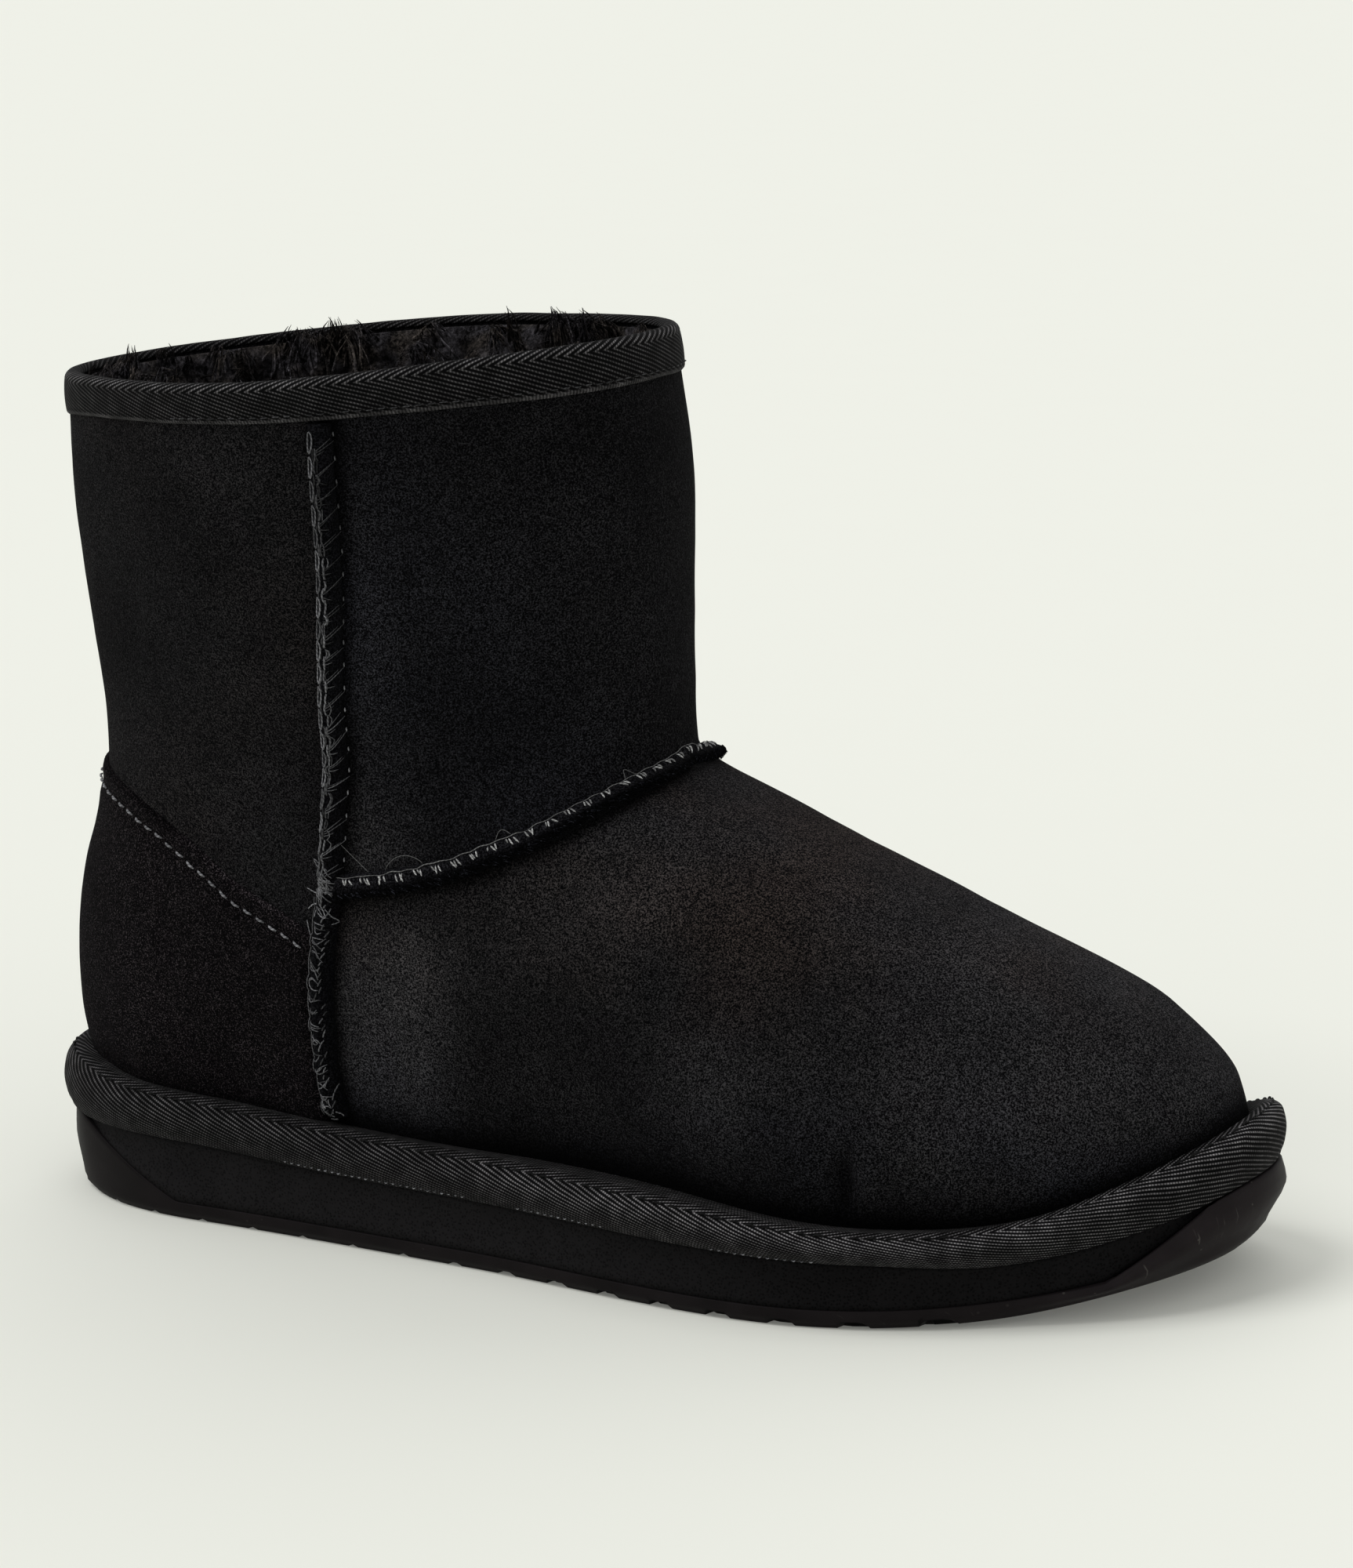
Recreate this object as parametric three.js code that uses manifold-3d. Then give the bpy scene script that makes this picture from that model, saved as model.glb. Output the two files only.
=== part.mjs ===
// Sheepskin ankle boot for the right foot: a lugged rubber outsole, a foam midsole, a tape-bound rand
// at the feather edge, a sheepskin footbed, a hollow suede-and-wool upper, a heel counter, a bound
// collar and three raised seams.
//
// Millimetres. +X points to the toe, +Y to the inner side of the foot, +Z up. The pieces are shaped
// with the heel end of the sole at x = 0 and the ground at z = 0; at the end the whole boot is moved
// so that the middle of its footprint is the origin.
//
// A closed line round the boot is walked by a turn from 0 to 1: 0 is the middle of the heel, 0.5 the
// middle of the toe, turns below 0.5 run along the outer side and turns above it along the inner one.

import * as THREE from "three";
import Module from "manifold-3d";

const wasm = await Module();
wasm.setup();

// Driving dimensions
const SOLE_LENGTH = 262;
const BALL_HALF = 45;          // half of the sole's width at the ball of the foot
const BOOT_HEIGHT = 180;       // ground to the middle of the collar
const TOE_SPRING = 8.3;        // rise of the sole at the tip of the toe
const SPRING_START = 0.7;      // where the spring starts, as a share of the sole's length
const SPRING_CURVE = 1.8;
const WALL = 8;                // suede and wool together
const GAP = 0.3;               // room between neighbouring pieces
const END_ROUNDNESS = 2.2;     // exponent of the superellipse that rounds every ring's two ends
const STEPS_ROUND = 64;        // points round a ring

// Plan outline of the sole: half-widths as shares of BALL_HALF, and how far the middle line swings
// to the inner side, at stations along the length.
const OUTLINE = [
  { at: 0.0, outer: 0.703, inner: 0.733, swing: 0.0 },
  { at: 0.13, outer: 0.724, inner: 0.756, swing: 0.0 },
  { at: 0.42, outer: 0.856, inner: 0.733, swing: -0.03 },
  { at: 0.68, outer: 1.031, inner: 0.978, swing: -0.06 },
  { at: 1.0, outer: 0.931, inner: 0.965, swing: 0.196 },
];

// Thickness of the sole, and how tall the rand is beside its normal height, along the length.
const PROFILE = [
  { at: 0.0, sole: 17.4, rand: 1.5 },
  { at: 0.13, sole: 17.4, rand: 1.08 },
  { at: 0.31, sole: 15.4, rand: 1.0 },
  { at: 0.56, sole: 14.3, rand: 0.95 },
  { at: 0.77, sole: 12.9, rand: 0.62 },
  { at: 0.87, sole: 10.8, rand: 0.84 },
  { at: 0.96, sole: 12.0, rand: 1.25 },
  { at: 1.0, sole: 12.8, rand: 1.4 },
];
const HEEL_ROUND = 0.17;       // share of the length in which the heel end narrows
const TOE_ROUND = 0.33;        // and the toe end

// Rings of the upper, from the feather edge to the collar. Rise is the height at the back and the
// front as a share of BOOT_HEIGHT; back and front are the ring's ends as shares of SOLE_LENGTH;
// heel, waist and ball are half-widths as shares of BALL_HALF; the round columns are the shares of
// the ring's own length in which its two ends narrow.
const UPPER_RINGS = [
  { name: "edge", backRise: 0.098, frontRise: 0.074, back: 0.025, front: 0.975,
    heel: 0.59, waist: 0.72, ball: 0.875, backRound: 0.17, frontRound: 0.33 },
  { name: "feather", backRise: 0.15, frontRise: 0.125, back: 0.0225, front: 0.985,
    heel: 0.61, waist: 0.745, ball: 0.9, backRound: 0.17, frontRound: 0.33 },
  { name: "bulge", backRise: 0.222, frontRise: 0.203, back: 0.0125, front: 0.979,
    heel: 0.645, waist: 0.795, ball: 0.985, backRound: 0.19, frontRound: 0.36 },
  { name: "side", backRise: 0.306, frontRise: 0.294, back: 0.0185, front: 0.937,
    heel: 0.711, waist: 0.798, ball: 0.893, backRound: 0.22, frontRound: 0.42 },
  { name: "quarter", backRise: 0.389, frontRise: 0.383, back: 0.029, front: 0.811,
    heel: 0.711, waist: 0.798, ball: 0.82, backRound: 0.25, frontRound: 0.5 },
  { name: "instep", backRise: 0.472, frontRise: 0.472, back: 0.047, front: 0.668,
    heel: 0.733, waist: 0.798, ball: 0.776, backRound: 0.3, frontRound: 0.55 },
  { name: "throat", backRise: 0.556, frontRise: 0.556, back: 0.0545, front: 0.553,
    heel: 0.798, waist: 0.842, ball: 0.798, backRound: 0.4, frontRound: 0.6 },
  { name: "ankle", backRise: 0.628, frontRise: 0.65, back: 0.0515, front: 0.55,
    heel: 0.887, waist: 0.929, ball: 0.864, backRound: 0.5, frontRound: 0.5 },
  { name: "shaft", backRise: 0.8, frontRise: 0.834, back: 0.042, front: 0.5535,
    heel: 0.973, waist: 1.018, ball: 0.951, backRound: 0.5, frontRound: 0.5 },
  { name: "collar", backRise: 0.964, frontRise: 1.009, back: 0.0453, front: 0.5387,
    heel: 1.018, waist: 1.062, ball: 0.996, backRound: 0.5, frontRound: 0.5 },
];
const HEEL_STATION = 0.15;     // where the three widths hold, as shares of a ring's length
const WAIST_STATION = 0.45;
const BALL_STATION = 0.72;
const INNER_SIDE_WIDTH = 0.97; // the inner side is a little straighter than the outer
const RIM = { outerDip: 1.8, innerRise: 1, from: 0.7 };   // the collar sags outside and rises inside
const ARCH = { draw: 4.5, at: 0.43, spread: 0.27, fade: 0.4 };   // and drawn in low down at the arch
const OUTER_LEVELS = [0, 0.04, 0.08, 0.12, 0.17, 0.22, 0.275, 0.33, 0.385, 0.44, 0.495, 0.55, 0.6,
  0.65, 0.7, 0.76, 0.84, 0.92, 1];   // levels at which the outer face has a ring of points
const INNER_LEVELS = [1, 0.85, 0.7, 0.62, 0.54, 0.46, 0.38, 0.3, 0.2, 0.1, 0];
const SEAT_FADE = 0.35;        // share of the upper's rings that still follow the sole's toe spring
const SWING_FADE = 0.6;        // and the sole's swing

// Sole
const PLATE = 4.2;             // outsole thickness under the midsole
const STRIP = 4.6;             // height of the outsole's visible edge between the bumpers
const BUMPER_WALL = 3;
const HEEL_BUMPER = { full: 12, end: 46 };   // where along the sole the bumper is full and ends
const TOE_BUMPER = { full: 255, end: 241 };
const EDGE_INSET = 1.5;        // how far the ground edge is drawn in
const HEEL_INSET = 1.5;        // how much more at the heel
const TOE_INSET = 5;           // and at the toe
const TOE_BULGE = 1.6;
const MIDSOLE_INSET = 0.3;
const MIDSOLE_GAP = 0.5;       // room between the foam and the bumpers' sloping edges
const LUG_PITCH = 15.5;
const LUG_FIRST = 9;           // middle of the first groove
const LUG_COUNT = 16;
const GROOVE = { depth: 2, halfMouth: 4, halfFloor: 2.6, sweep: 0.35, reach: 60 };

// Rand at the feather edge
const RAND_HEIGHT = 8.9;
const RAND_TOP_LEVEL = 0.1;    // level on the upper where the rand's top meets it, at normal height
const RAND_PROFILE = [         // offset beyond the sole's outline, and height above the sole
  { out: 0.8, up: 0 },
  { out: 2.8, up: 2.0 },
  { out: 3.5, up: 4.2 },
  { out: 2.9, up: 6.4 },
  { out: 0.6, up: 8.2 },
  { out: -2, up: RAND_HEIGHT },
];

// Footbed
const FOOTBED_TOP_LEVEL = 0.08;

// Collar binding
const TAPE = 1.2;
const TAPE_LEVEL = 0.967;      // level on the upper of the tape's lower edge
const TAPE_LIP = 4;            // how far the tape covers the rim

// Raised seams
const SEAM_WIDTH = 5.6;
const SIDE_SEAM_PROUD = 4.4;
const VAMP_SEAM_PROUD = 2.4;
const SEAM_CLEARANCE = 0.6;
const VAMP_SEAM_BOW = 1.5;      // the vamp seam lies in the hollow between vamp and shaft
const SIDE_SEAM = [            // from the welt up to the collar
  { x: 78.4, z: 22 },
  { x: 77.4, z: 38 },
  { x: 78.0, z: 53 },
  { x: 81.8, z: 75 },
  { x: 84.4, z: 97 },
  { x: 88.0, z: 123 },
  { x: 90.6, z: 148 },
  { x: 90.8, z: 170 },
];
const SIDE_SEAM_FOOT = 10.6;   // height of the seam's lower end above the sole's top
const SIDE_SEAM_TOP_LEVEL = 0.962;
const VAMP_SEAM = [            // from the side seam to the middle of the instep
  { x: 87, z: 74.6 },
  { x: 97, z: 76.6 },
  { x: 108, z: 79.4 },
  { x: 122, z: 84.6 },
  { x: 135, z: 90.8 },
  { x: 143, z: 94.6 },
];
const VAMP_SEAM_FRONT_X = 147.5;

// Heel counter
const COUNTER = { thickness: 1.5, aboveRand: 1 };
const COUNTER_TOP = [
  { x: -10, z: 95.5 },
  { x: 14, z: 95 },
  { x: 29, z: 90.5 },
  { x: 49, z: 79.5 },
  { x: 68, z: 69 },
  { x: 80, z: 63 },
];

// Numbers and curves

const clamp01 = (s) => Math.min(1, Math.max(0, s));
const smooth = (s) => clamp01(s) ** 2 * (3 - 2 * clamp01(s));
const mix = (a, b, s) => a + (b - a) * s;

// The quarter superellipse that rounds an end: 0 at the tip, 1 once s reaches 1.
const roundedEnd = (s) => (1 - (1 - clamp01(s)) ** END_ROUNDNESS) ** (1 / END_ROUNDNESS);

// A monotone cubic through the points (xs, ys), flat beyond its ends.
function curveThrough(xs, ys) {
  const last = xs.length - 1;
  const step = xs.slice(1).map((x, i) => x - xs[i]);
  const rise = step.map((h, i) => (ys[i + 1] - ys[i]) / h);
  const slope = xs.map((_, i) => {
    if (i === 0) return rise[0];
    if (i === last) return rise[last - 1];
    if (rise[i - 1] * rise[i] <= 0) return 0;
    const before = 2 * step[i] + step[i - 1];
    const after = step[i] + 2 * step[i - 1];
    return (before + after) / (before / rise[i - 1] + after / rise[i]);
  });
  return (x) => {
    if (x <= xs[0]) return ys[0];
    if (x >= xs[last]) return ys[last];
    const i = xs.findIndex((_, k) => x < xs[k + 1]);
    const s = (x - xs[i]) / step[i];
    const start = (1 + 2 * s) * (1 - s) ** 2 * ys[i] + s * (1 - s) ** 2 * step[i] * slope[i];
    const end = s * s * (3 - 2 * s) * ys[i + 1] + s * s * (s - 1) * step[i] * slope[i + 1];
    return start + end;
  };
}

const column = (table, keyName, valueName) =>
  curveThrough(table.map((row) => row[keyName]), table.map((row) => row[valueName]));

// Sole shape

const outerHalf = column(OUTLINE, "at", "outer");
const innerHalf = column(OUTLINE, "at", "inner");
const swingShare = column(OUTLINE, "at", "swing");
const swingAt = (x) => swingShare(x / SOLE_LENGTH) * BALL_HALF;

const springAt = (x) =>
  TOE_SPRING * Math.max(0, (x / SOLE_LENGTH - SPRING_START) / (1 - SPRING_START)) ** SPRING_CURVE;
const thicknessShare = column(PROFILE, "at", "sole");
const soleThickness = (x) => thicknessShare(x / SOLE_LENGTH);
const seatAt = (x) => soleThickness(x) + springAt(x);
const randShare = column(PROFILE, "at", "rand");
const randScale = (x) => randShare(x / SOLE_LENGTH);

// How much of the bumper's height the outsole wall has at x: 1 at the two ends, 0 between them.
function bumperShare(x) {
  const heel = 1 - smooth((x - HEEL_BUMPER.full) / (HEEL_BUMPER.end - HEEL_BUMPER.full));
  const toe = smooth((x - TOE_BUMPER.end) / (TOE_BUMPER.full - TOE_BUMPER.end));
  return Math.max(heel, toe);
}

function outlinePoint(turn) {
  const angle = 2 * Math.PI * turn;
  const s = (1 - Math.cos(angle)) / 2;
  const ends = roundedEnd(s / HEEL_ROUND) * roundedEnd((1 - s) / TOE_ROUND);
  const half = turn < 0.5 ? -outerHalf(s) : innerHalf(s);
  const x = s * SOLE_LENGTH;
  return new THREE.Vector2(x, swingAt(x) + half * BALL_HALF * ends);
}

// The plan point that stands `out` beyond the sole's outline.
function outlineOffset(turn, out) {
  const nudge = 1 / 2000;
  const here = outlinePoint((turn + 1) % 1);
  const along = outlinePoint((turn + nudge) % 1).sub(outlinePoint((turn - nudge + 1) % 1)).normalize();
  return new THREE.Vector2(here.x + along.y * out, here.y - along.x * out);
}

// Upper shape

const LEVELS = UPPER_RINGS.map((_, i) => i / (UPPER_RINGS.length - 1));
const ringColumn = (name) => curveThrough(LEVELS, UPPER_RINGS.map((row) => row[name]));
const ring = Object.fromEntries(
  ["backRise", "frontRise", "back", "front", "heel", "waist", "ball", "backRound", "frontRound"]
    .map((name) => [name, ringColumn(name)]));

function ringHeight(level, s) {
  return BOOT_HEIGHT * mix(ring.backRise(level), ring.frontRise(level), s);
}

// A point of the upper's outer face; level is 0 at the feather edge and 1 at the collar.
function upperPoint(level, turn) {
  const s = (1 - Math.cos(2 * Math.PI * turn)) / 2;
  const toWaist = mix(ring.heel(level), ring.waist(level),
    smooth((s - HEEL_STATION) / (WAIST_STATION - HEEL_STATION)));
  const half = BALL_HALF * mix(toWaist, ring.ball(level),
    smooth((s - WAIST_STATION) / (BALL_STATION - WAIST_STATION)));
  const ends = roundedEnd(s / ring.backRound(level)) * roundedEnd((1 - s) / ring.frontRound(level));
  const x = SOLE_LENGTH * mix(ring.back(level), ring.front(level), s);
  const arch = ARCH.draw * (1 - smooth(level / ARCH.fade)) * (1 - smooth(Math.abs(s - ARCH.at) / ARCH.spread));
  const reach = turn < 0.5 ? -half : INNER_SIDE_WIDTH * half - arch;
  const y = swingAt(x) * (1 - smooth(level / SWING_FADE)) + reach * ends;
  const drop = seatAt(x) + GAP - ringHeight(0, s);
  const rim = (turn < 0.5 ? -RIM.outerDip : RIM.innerRise) * Math.sin(Math.PI * s) ** 2;
  const z = ringHeight(level, s) + drop * (1 - smooth(level / SEAT_FADE));
  return new THREE.Vector3(x, y, z + rim * smooth((level - RIM.from) / (1 - RIM.from)));
}

// The outward normal, level at the feather edge and the collar so that both rims stay flat.
function upperNormal(level, turn) {
  const nudge = 1 / 1000;
  const low = Math.max(0, level - nudge);
  const high = Math.min(1, level + nudge);
  const around = upperPoint(level, (turn + nudge) % 1).sub(upperPoint(level, (turn - nudge + 1) % 1));
  const up = upperPoint(high, turn).sub(upperPoint(low, turn));
  const normal = around.cross(up).normalize();
  normal.z *= smooth(level / 0.12) * smooth((1 - level) / 0.12);
  return normal.normalize();
}

const upperOffset = (level, turn, out) =>
  upperPoint(level, turn).addScaledVector(upperNormal(level, turn), out);

// The level and turn at which the outer side of the upper has this x and z.
function upperPlace(x, z) {
  let low = 0;
  let high = 1;
  let s = 0;
  for (let i = 0; i < 40; i += 1) {
    const level = (low + high) / 2;
    const back = ring.back(level) * SOLE_LENGTH;
    const front = ring.front(level) * SOLE_LENGTH;
    s = clamp01((x - back) / (front - back));
    const height = upperPoint(level, Math.acos(1 - 2 * s) / (2 * Math.PI)).z;
    if (height < z) low = level;
    else high = level;
  }
  return { level: (low + high) / 2, turn: Math.acos(1 - 2 * s) / (2 * Math.PI) };
}

// Meshes

function geometryFrom(points, triangles) {
  const geometry = new THREE.BufferGeometry();
  const positions = new Float32Array(points.flatMap((p) => [p.x, p.y, p.z]));
  geometry.setAttribute("position", new THREE.BufferAttribute(positions, 3));
  geometry.setIndex(triangles.flat());
  return geometry;
}

// Two triangles for each cell between ring `a` and ring `b` of a stack of rings with `count` points.
function band(a, b, count) {
  const triangles = [];
  for (let i = 0; i < count; i += 1) {
    const j = (i + 1) % count;
    triangles.push([a + i, a + j, b + j], [a + i, b + j, b + i]);
  }
  return triangles;
}

// Closes a ring with rungs between its outer and inner side, so that the cap follows the toe spring.
function ladderCap(start, count, facingUp) {
  const triangles = [];
  const add = (a, b, c) => triangles.push(facingUp ? [a, b, c] : [a, c, b]);
  for (let i = 0; i < count / 2; i += 1) {
    const outerNear = start + i;
    const outerFar = start + i + 1;
    const innerNear = start + ((count - i) % count);
    const innerFar = start + count - i - 1;
    if (outerFar !== innerFar) add(outerNear, outerFar, innerFar);
    if (outerNear !== innerNear) add(outerNear, innerFar, innerNear);
  }
  return triangles;
}

// A solid from a stack of rings, closed by caps below the first and above the last.
function stack(rings) {
  const count = rings[0].length;
  const triangles = rings.slice(1).flatMap((_, k) => band(k * count, (k + 1) * count, count));
  triangles.push(...ladderCap(0, count, false));
  triangles.push(...ladderCap((rings.length - 1) * count, count, true));
  return geometryFrom(rings.flat(), triangles);
}

// A ring-shaped solid: the last ring joins the first again.
function hoop(rings) {
  const count = rings[0].length;
  const triangles = rings.flatMap((_, k) => band(k * count, ((k + 1) % rings.length) * count, count));
  return geometryFrom(rings.flat(), triangles);
}

// A bar: the same section at each place of a path, with flat ends.
function bar(sections) {
  const count = sections[0].length;
  const end = (sections.length - 1) * count;
  const triangles = sections.slice(1).flatMap((_, k) => band(k * count, (k + 1) * count, count));
  for (let i = 1; i < count - 1; i += 1) {
    triangles.push([0, i + 1, i], [end, end + i, end + i + 1]);
  }
  return geometryFrom(sections.flat(), triangles);
}

const ringOf = (pointAt, count = STEPS_ROUND) =>
  Array.from({ length: count }, (_, i) => pointAt(i / count));

// A ring beyond the sole's outline; out and height may depend on x.
const soleRing = (out, height) => ringOf((turn) => {
  const plan = outlineOffset(turn, out(outlinePoint(turn).x));
  return new THREE.Vector3(plan.x, plan.y, height(plan.x));
});

function solidFrom(geometry) {
  const vertProperties = geometry.getAttribute("position").array;
  const triVerts = new Uint32Array(geometry.getIndex().array);
  return new wasm.Manifold(new wasm.Mesh({ numProp: 3, vertProperties, triVerts }));
}

function geometryOf(solid) {
  const mesh = solid.getMesh();
  const positions = new Float32Array((mesh.vertProperties.length / mesh.numProp) * 3);
  for (let i = 0; i < positions.length / 3; i += 1) {
    for (let k = 0; k < 3; k += 1) positions[3 * i + k] = mesh.vertProperties[mesh.numProp * i + k];
  }
  const geometry = new THREE.BufferGeometry();
  geometry.setAttribute("position", new THREE.BufferAttribute(positions, 3));
  geometry.setIndex([...mesh.triVerts]);
  return geometry;
}

// Pieces

// One groove across the tread, swept back on both sides of the middle.
function groove(x) {
  const base = springAt(x);
  const half = [-1, 0, 1].map((side) => {
    const shift = x - Math.abs(side) * GROOVE.reach * GROOVE.sweep;
    const corner = (dx, dz) => new THREE.Vector3(shift + dx, side * GROOVE.reach, dz);
    return [
      corner(-GROOVE.halfMouth, -GROOVE.depth),
      corner(-GROOVE.halfFloor, base + GROOVE.depth),
      corner(GROOVE.halfFloor, base + GROOVE.depth),
      corner(GROOVE.halfMouth, -GROOVE.depth),
    ];
  });
  return solidFrom(bar(half));
}

// The tread plate, its visible edge strip and the two bumpers that rise from it, grooved below.
function outsoleGeometry() {
  const heel = (x) => smooth((0.1 * SOLE_LENGTH - x) / 20);
  const toe = (x) => smooth((x - 0.85 * SOLE_LENGTH) / 30);
  const draw = (x) => HEEL_INSET * heel(x) + TOE_INSET * toe(x);
  const wallTop = (x) => springAt(x) + mix(STRIP, soleThickness(x), bumperShare(x));
  const tray = solidFrom(stack([
    soleRing((x) => -EDGE_INSET - draw(x), springAt),
    soleRing((x) => -0.2 - 0.6 * draw(x), (x) => springAt(x) + 1.6),
    soleRing((x) => TOE_BULGE * toe(x), (x) => mix(springAt(x), wallTop(x), 0.7)),
    soleRing((x) => 0.6 * TOE_BULGE * toe(x), wallTop),
    soleRing(() => -BUMPER_WALL, wallTop),
    soleRing(() => -BUMPER_WALL - 0.2, (x) => springAt(x) + PLATE),
  ]));
  const grooves = Array.from({ length: LUG_COUNT }, (_, i) => groove(LUG_FIRST + i * LUG_PITCH));
  return geometryOf(grooves.reduce((solid, cut) => solid.subtract(cut), tray));
}

// The foam block: inside the outsole's wall below, flush with it above.
function midsoleGeometry() {
  const wallTop = (x) => springAt(x) + mix(STRIP, soleThickness(x), bumperShare(x));
  const step = (x) => Math.min(wallTop(x) + MIDSOLE_GAP, seatAt(x) - 0.6);
  const inner = -BUMPER_WALL - 0.2 - MIDSOLE_GAP;
  const outer = (x) => mix(-MIDSOLE_INSET, inner + 0.1, smooth(4 * bumperShare(x) - 2.6));
  return stack([
    soleRing(() => inner - 0.2, (x) => springAt(x) + PLATE + GAP),
    soleRing(() => inner, step),
    soleRing(outer, (x) => step(x) + 0.1),
    soleRing(outer, seatAt),
  ]);
}

// The rolled rand: its inner side follows the upper, its outer side is a flattened half-round.
function weltGeometry() {
  const besideUpper = (level) => ringOf((turn) => {
    const scale = randScale(outlinePoint(turn).x);
    return upperOffset(level * scale, turn, SEAM_CLEARANCE);
  });
  const outside = RAND_PROFILE.map(({ out, up }) =>
    soleRing(() => out, (x) => seatAt(x) + GAP + up * randScale(x)));
  const inside = [1, 2 / 3, 1 / 3, 0].map((share) => besideUpper(share * RAND_TOP_LEVEL));
  return hoop([...outside, ...inside]);
}

function insoleGeometry() {
  const inside = (level) => ringOf((turn) => upperOffset(level, turn, -WALL - GAP));
  return stack([inside(0), inside(FOOTBED_TOP_LEVEL)]);
}

// The hollow upper: up the outer face, over the rim and down the wool face.
function upperGeometry() {
  return hoop([
    ...OUTER_LEVELS.map((level) => ringOf((turn) => upperPoint(level, turn))),
    ...INNER_LEVELS.map((level) => ringOf((turn) => upperOffset(level, turn, -WALL))),
  ]);
}

// The tape over the collar: a leg down the outside and a lip over the rim.
function collarBindingGeometry() {
  const at = (level, out, up) => ringOf((turn) => {
    const point = upperOffset(level, turn, out);
    point.z += up;
    return point;
  });
  return hoop([
    at(TAPE_LEVEL, GAP + TAPE, 0),
    at(1, GAP + TAPE, 0),
    at(1, TAPE, GAP + 0.8 * TAPE),
    at(1, 0, GAP + TAPE),
    at(1, -TAPE_LIP, GAP + TAPE),
    at(1, -TAPE_LIP, GAP),
    at(1, GAP, GAP),
    at(TAPE_LEVEL, GAP, 0),
  ]);
}

// A raised seam along a path on the upper. Each place is a level and a turn, and the section stands
// on the surface: rounded above, and below hollowed or bowed by `bow` to suit the surface.
function seamGeometry(places, proud, bow) {
  const half = SEAM_WIDTH / 2;
  const top = SEAM_CLEARANCE + bow + proud;
  const profile = [
    { side: -half, up: SEAM_CLEARANCE + bow },
    { side: 0, up: SEAM_CLEARANCE },
    { side: half, up: SEAM_CLEARANCE + bow },
    { side: 0.85 * half, up: 0.65 * top },
    { side: 0.4 * half, up: top },
    { side: -0.4 * half, up: top },
    { side: -0.85 * half, up: 0.65 * top },
  ];
  const points = places.map(({ level, turn }) => upperPoint(level, turn));
  const sections = places.map(({ level, turn }, i) => {
    const ahead = points[Math.min(i + 1, points.length - 1)];
    const behind = points[Math.max(i - 1, 0)];
    const along = ahead.clone().sub(behind).normalize();
    const normal = upperNormal(level, turn);
    const across = normal.clone().cross(along).normalize();
    return profile.map(({ side, up }) =>
      points[i].clone().addScaledVector(across, side).addScaledVector(normal, up));
  });
  return bar(sections);
}

function sideSeamPlaces(innerSide) {
  const xAt = column(SIDE_SEAM, "z", "x");
  const foot = seatAt(SIDE_SEAM[0].x) + SIDE_SEAM_FOOT;
  const collarPlace = upperPlace(SIDE_SEAM.at(-1).x, SIDE_SEAM.at(-1).z);
  const top = upperPoint(SIDE_SEAM_TOP_LEVEL, collarPlace.turn).z;
  const count = 27;
  return Array.from({ length: count }, (_, i) => {
    const z = mix(foot, top, i / (count - 1));
    const { level, turn } = upperPlace(xAt(z), z);
    return { level, turn: innerSide ? 1 - turn : turn };
  });
}

function vampSeamPlaces() {
  const rows = VAMP_SEAM.map(({ x, z }) => upperPlace(x, z));
  rows.push(frontMiddle(VAMP_SEAM_FRONT_X));
  const levelAt = curveThrough(rows.map((row) => row.turn), rows.map((row) => row.level));
  const count = 41;
  const start = rows[0].turn;
  return Array.from({ length: count }, (_, i) => {
    const turn = mix(start, 1 - start, i / (count - 1));
    return { level: levelAt(Math.min(turn, 1 - turn)), turn };
  });
}

// The place on the middle of the instep where the upper's front reaches back to x.
function frontMiddle(x) {
  let low = 0.3;
  let high = 0.8;
  for (let i = 0; i < 40; i += 1) {
    const level = (low + high) / 2;
    if (ring.front(level) * SOLE_LENGTH > x) low = level;
    else high = level;
  }
  return { level: (low + high) / 2, turn: 0.5 };
}

// The counter: a shell over the back of the upper, cut to the counter's side outline.
function heelCounterGeometry() {
  const levels = OUTER_LEVELS.filter((level) => level > 0 && level < 0.7);
  const face = (out) => levels.map((level) => ringOf((turn) => upperOffset(level, turn, out)));
  const shell = solidFrom(hoop([...face(GAP + COUNTER.thickness), ...face(GAP).reverse()]));
  const seamEdge = SEAM_WIDTH / 2 + GAP;
  const front = SIDE_SEAM.filter(({ z }) => z < 70).map(({ x, z }) => ({ x: x - seamEdge, z }));
  const lowerZ = (x) => seatAt(x) + GAP + RAND_HEIGHT * randScale(x) + COUNTER.aboveRand;
  const lower = [-20, 0, 10, 20, 35, 55].map((x) => ({ x, z: lowerZ(x) }));
  const frontX = curveThrough(front.map((p) => p.z), front.map((p) => p.x));
  const topZ = column(COUNTER_TOP, "x", "z");
  const frontEdge = [0, 0.25, 0.5, 0.75, 1].map((s) => {
    const z = mix(lowerZ(front[0].x), topZ(front[0].x), s);
    return { x: frontX(z), z };
  });
  const topEdge = [60, 50, 40, 30, 20, 10, -20].map((x) => ({ x, z: topZ(x) }));
  const outline = [...lower, ...frontEdge, ...topEdge];
  const reach = 70;
  const prism = new THREE.ExtrudeGeometry(new THREE.Shape(outline.map((p) => new THREE.Vector2(p.x, p.z))),
    { depth: 2 * reach, bevelEnabled: false });
  prism.rotateX(Math.PI / 2);
  prism.translate(0, reach, 0);
  return geometryOf(shell.intersect(solidFrom(mergedByPosition(prism))));
}

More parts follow.
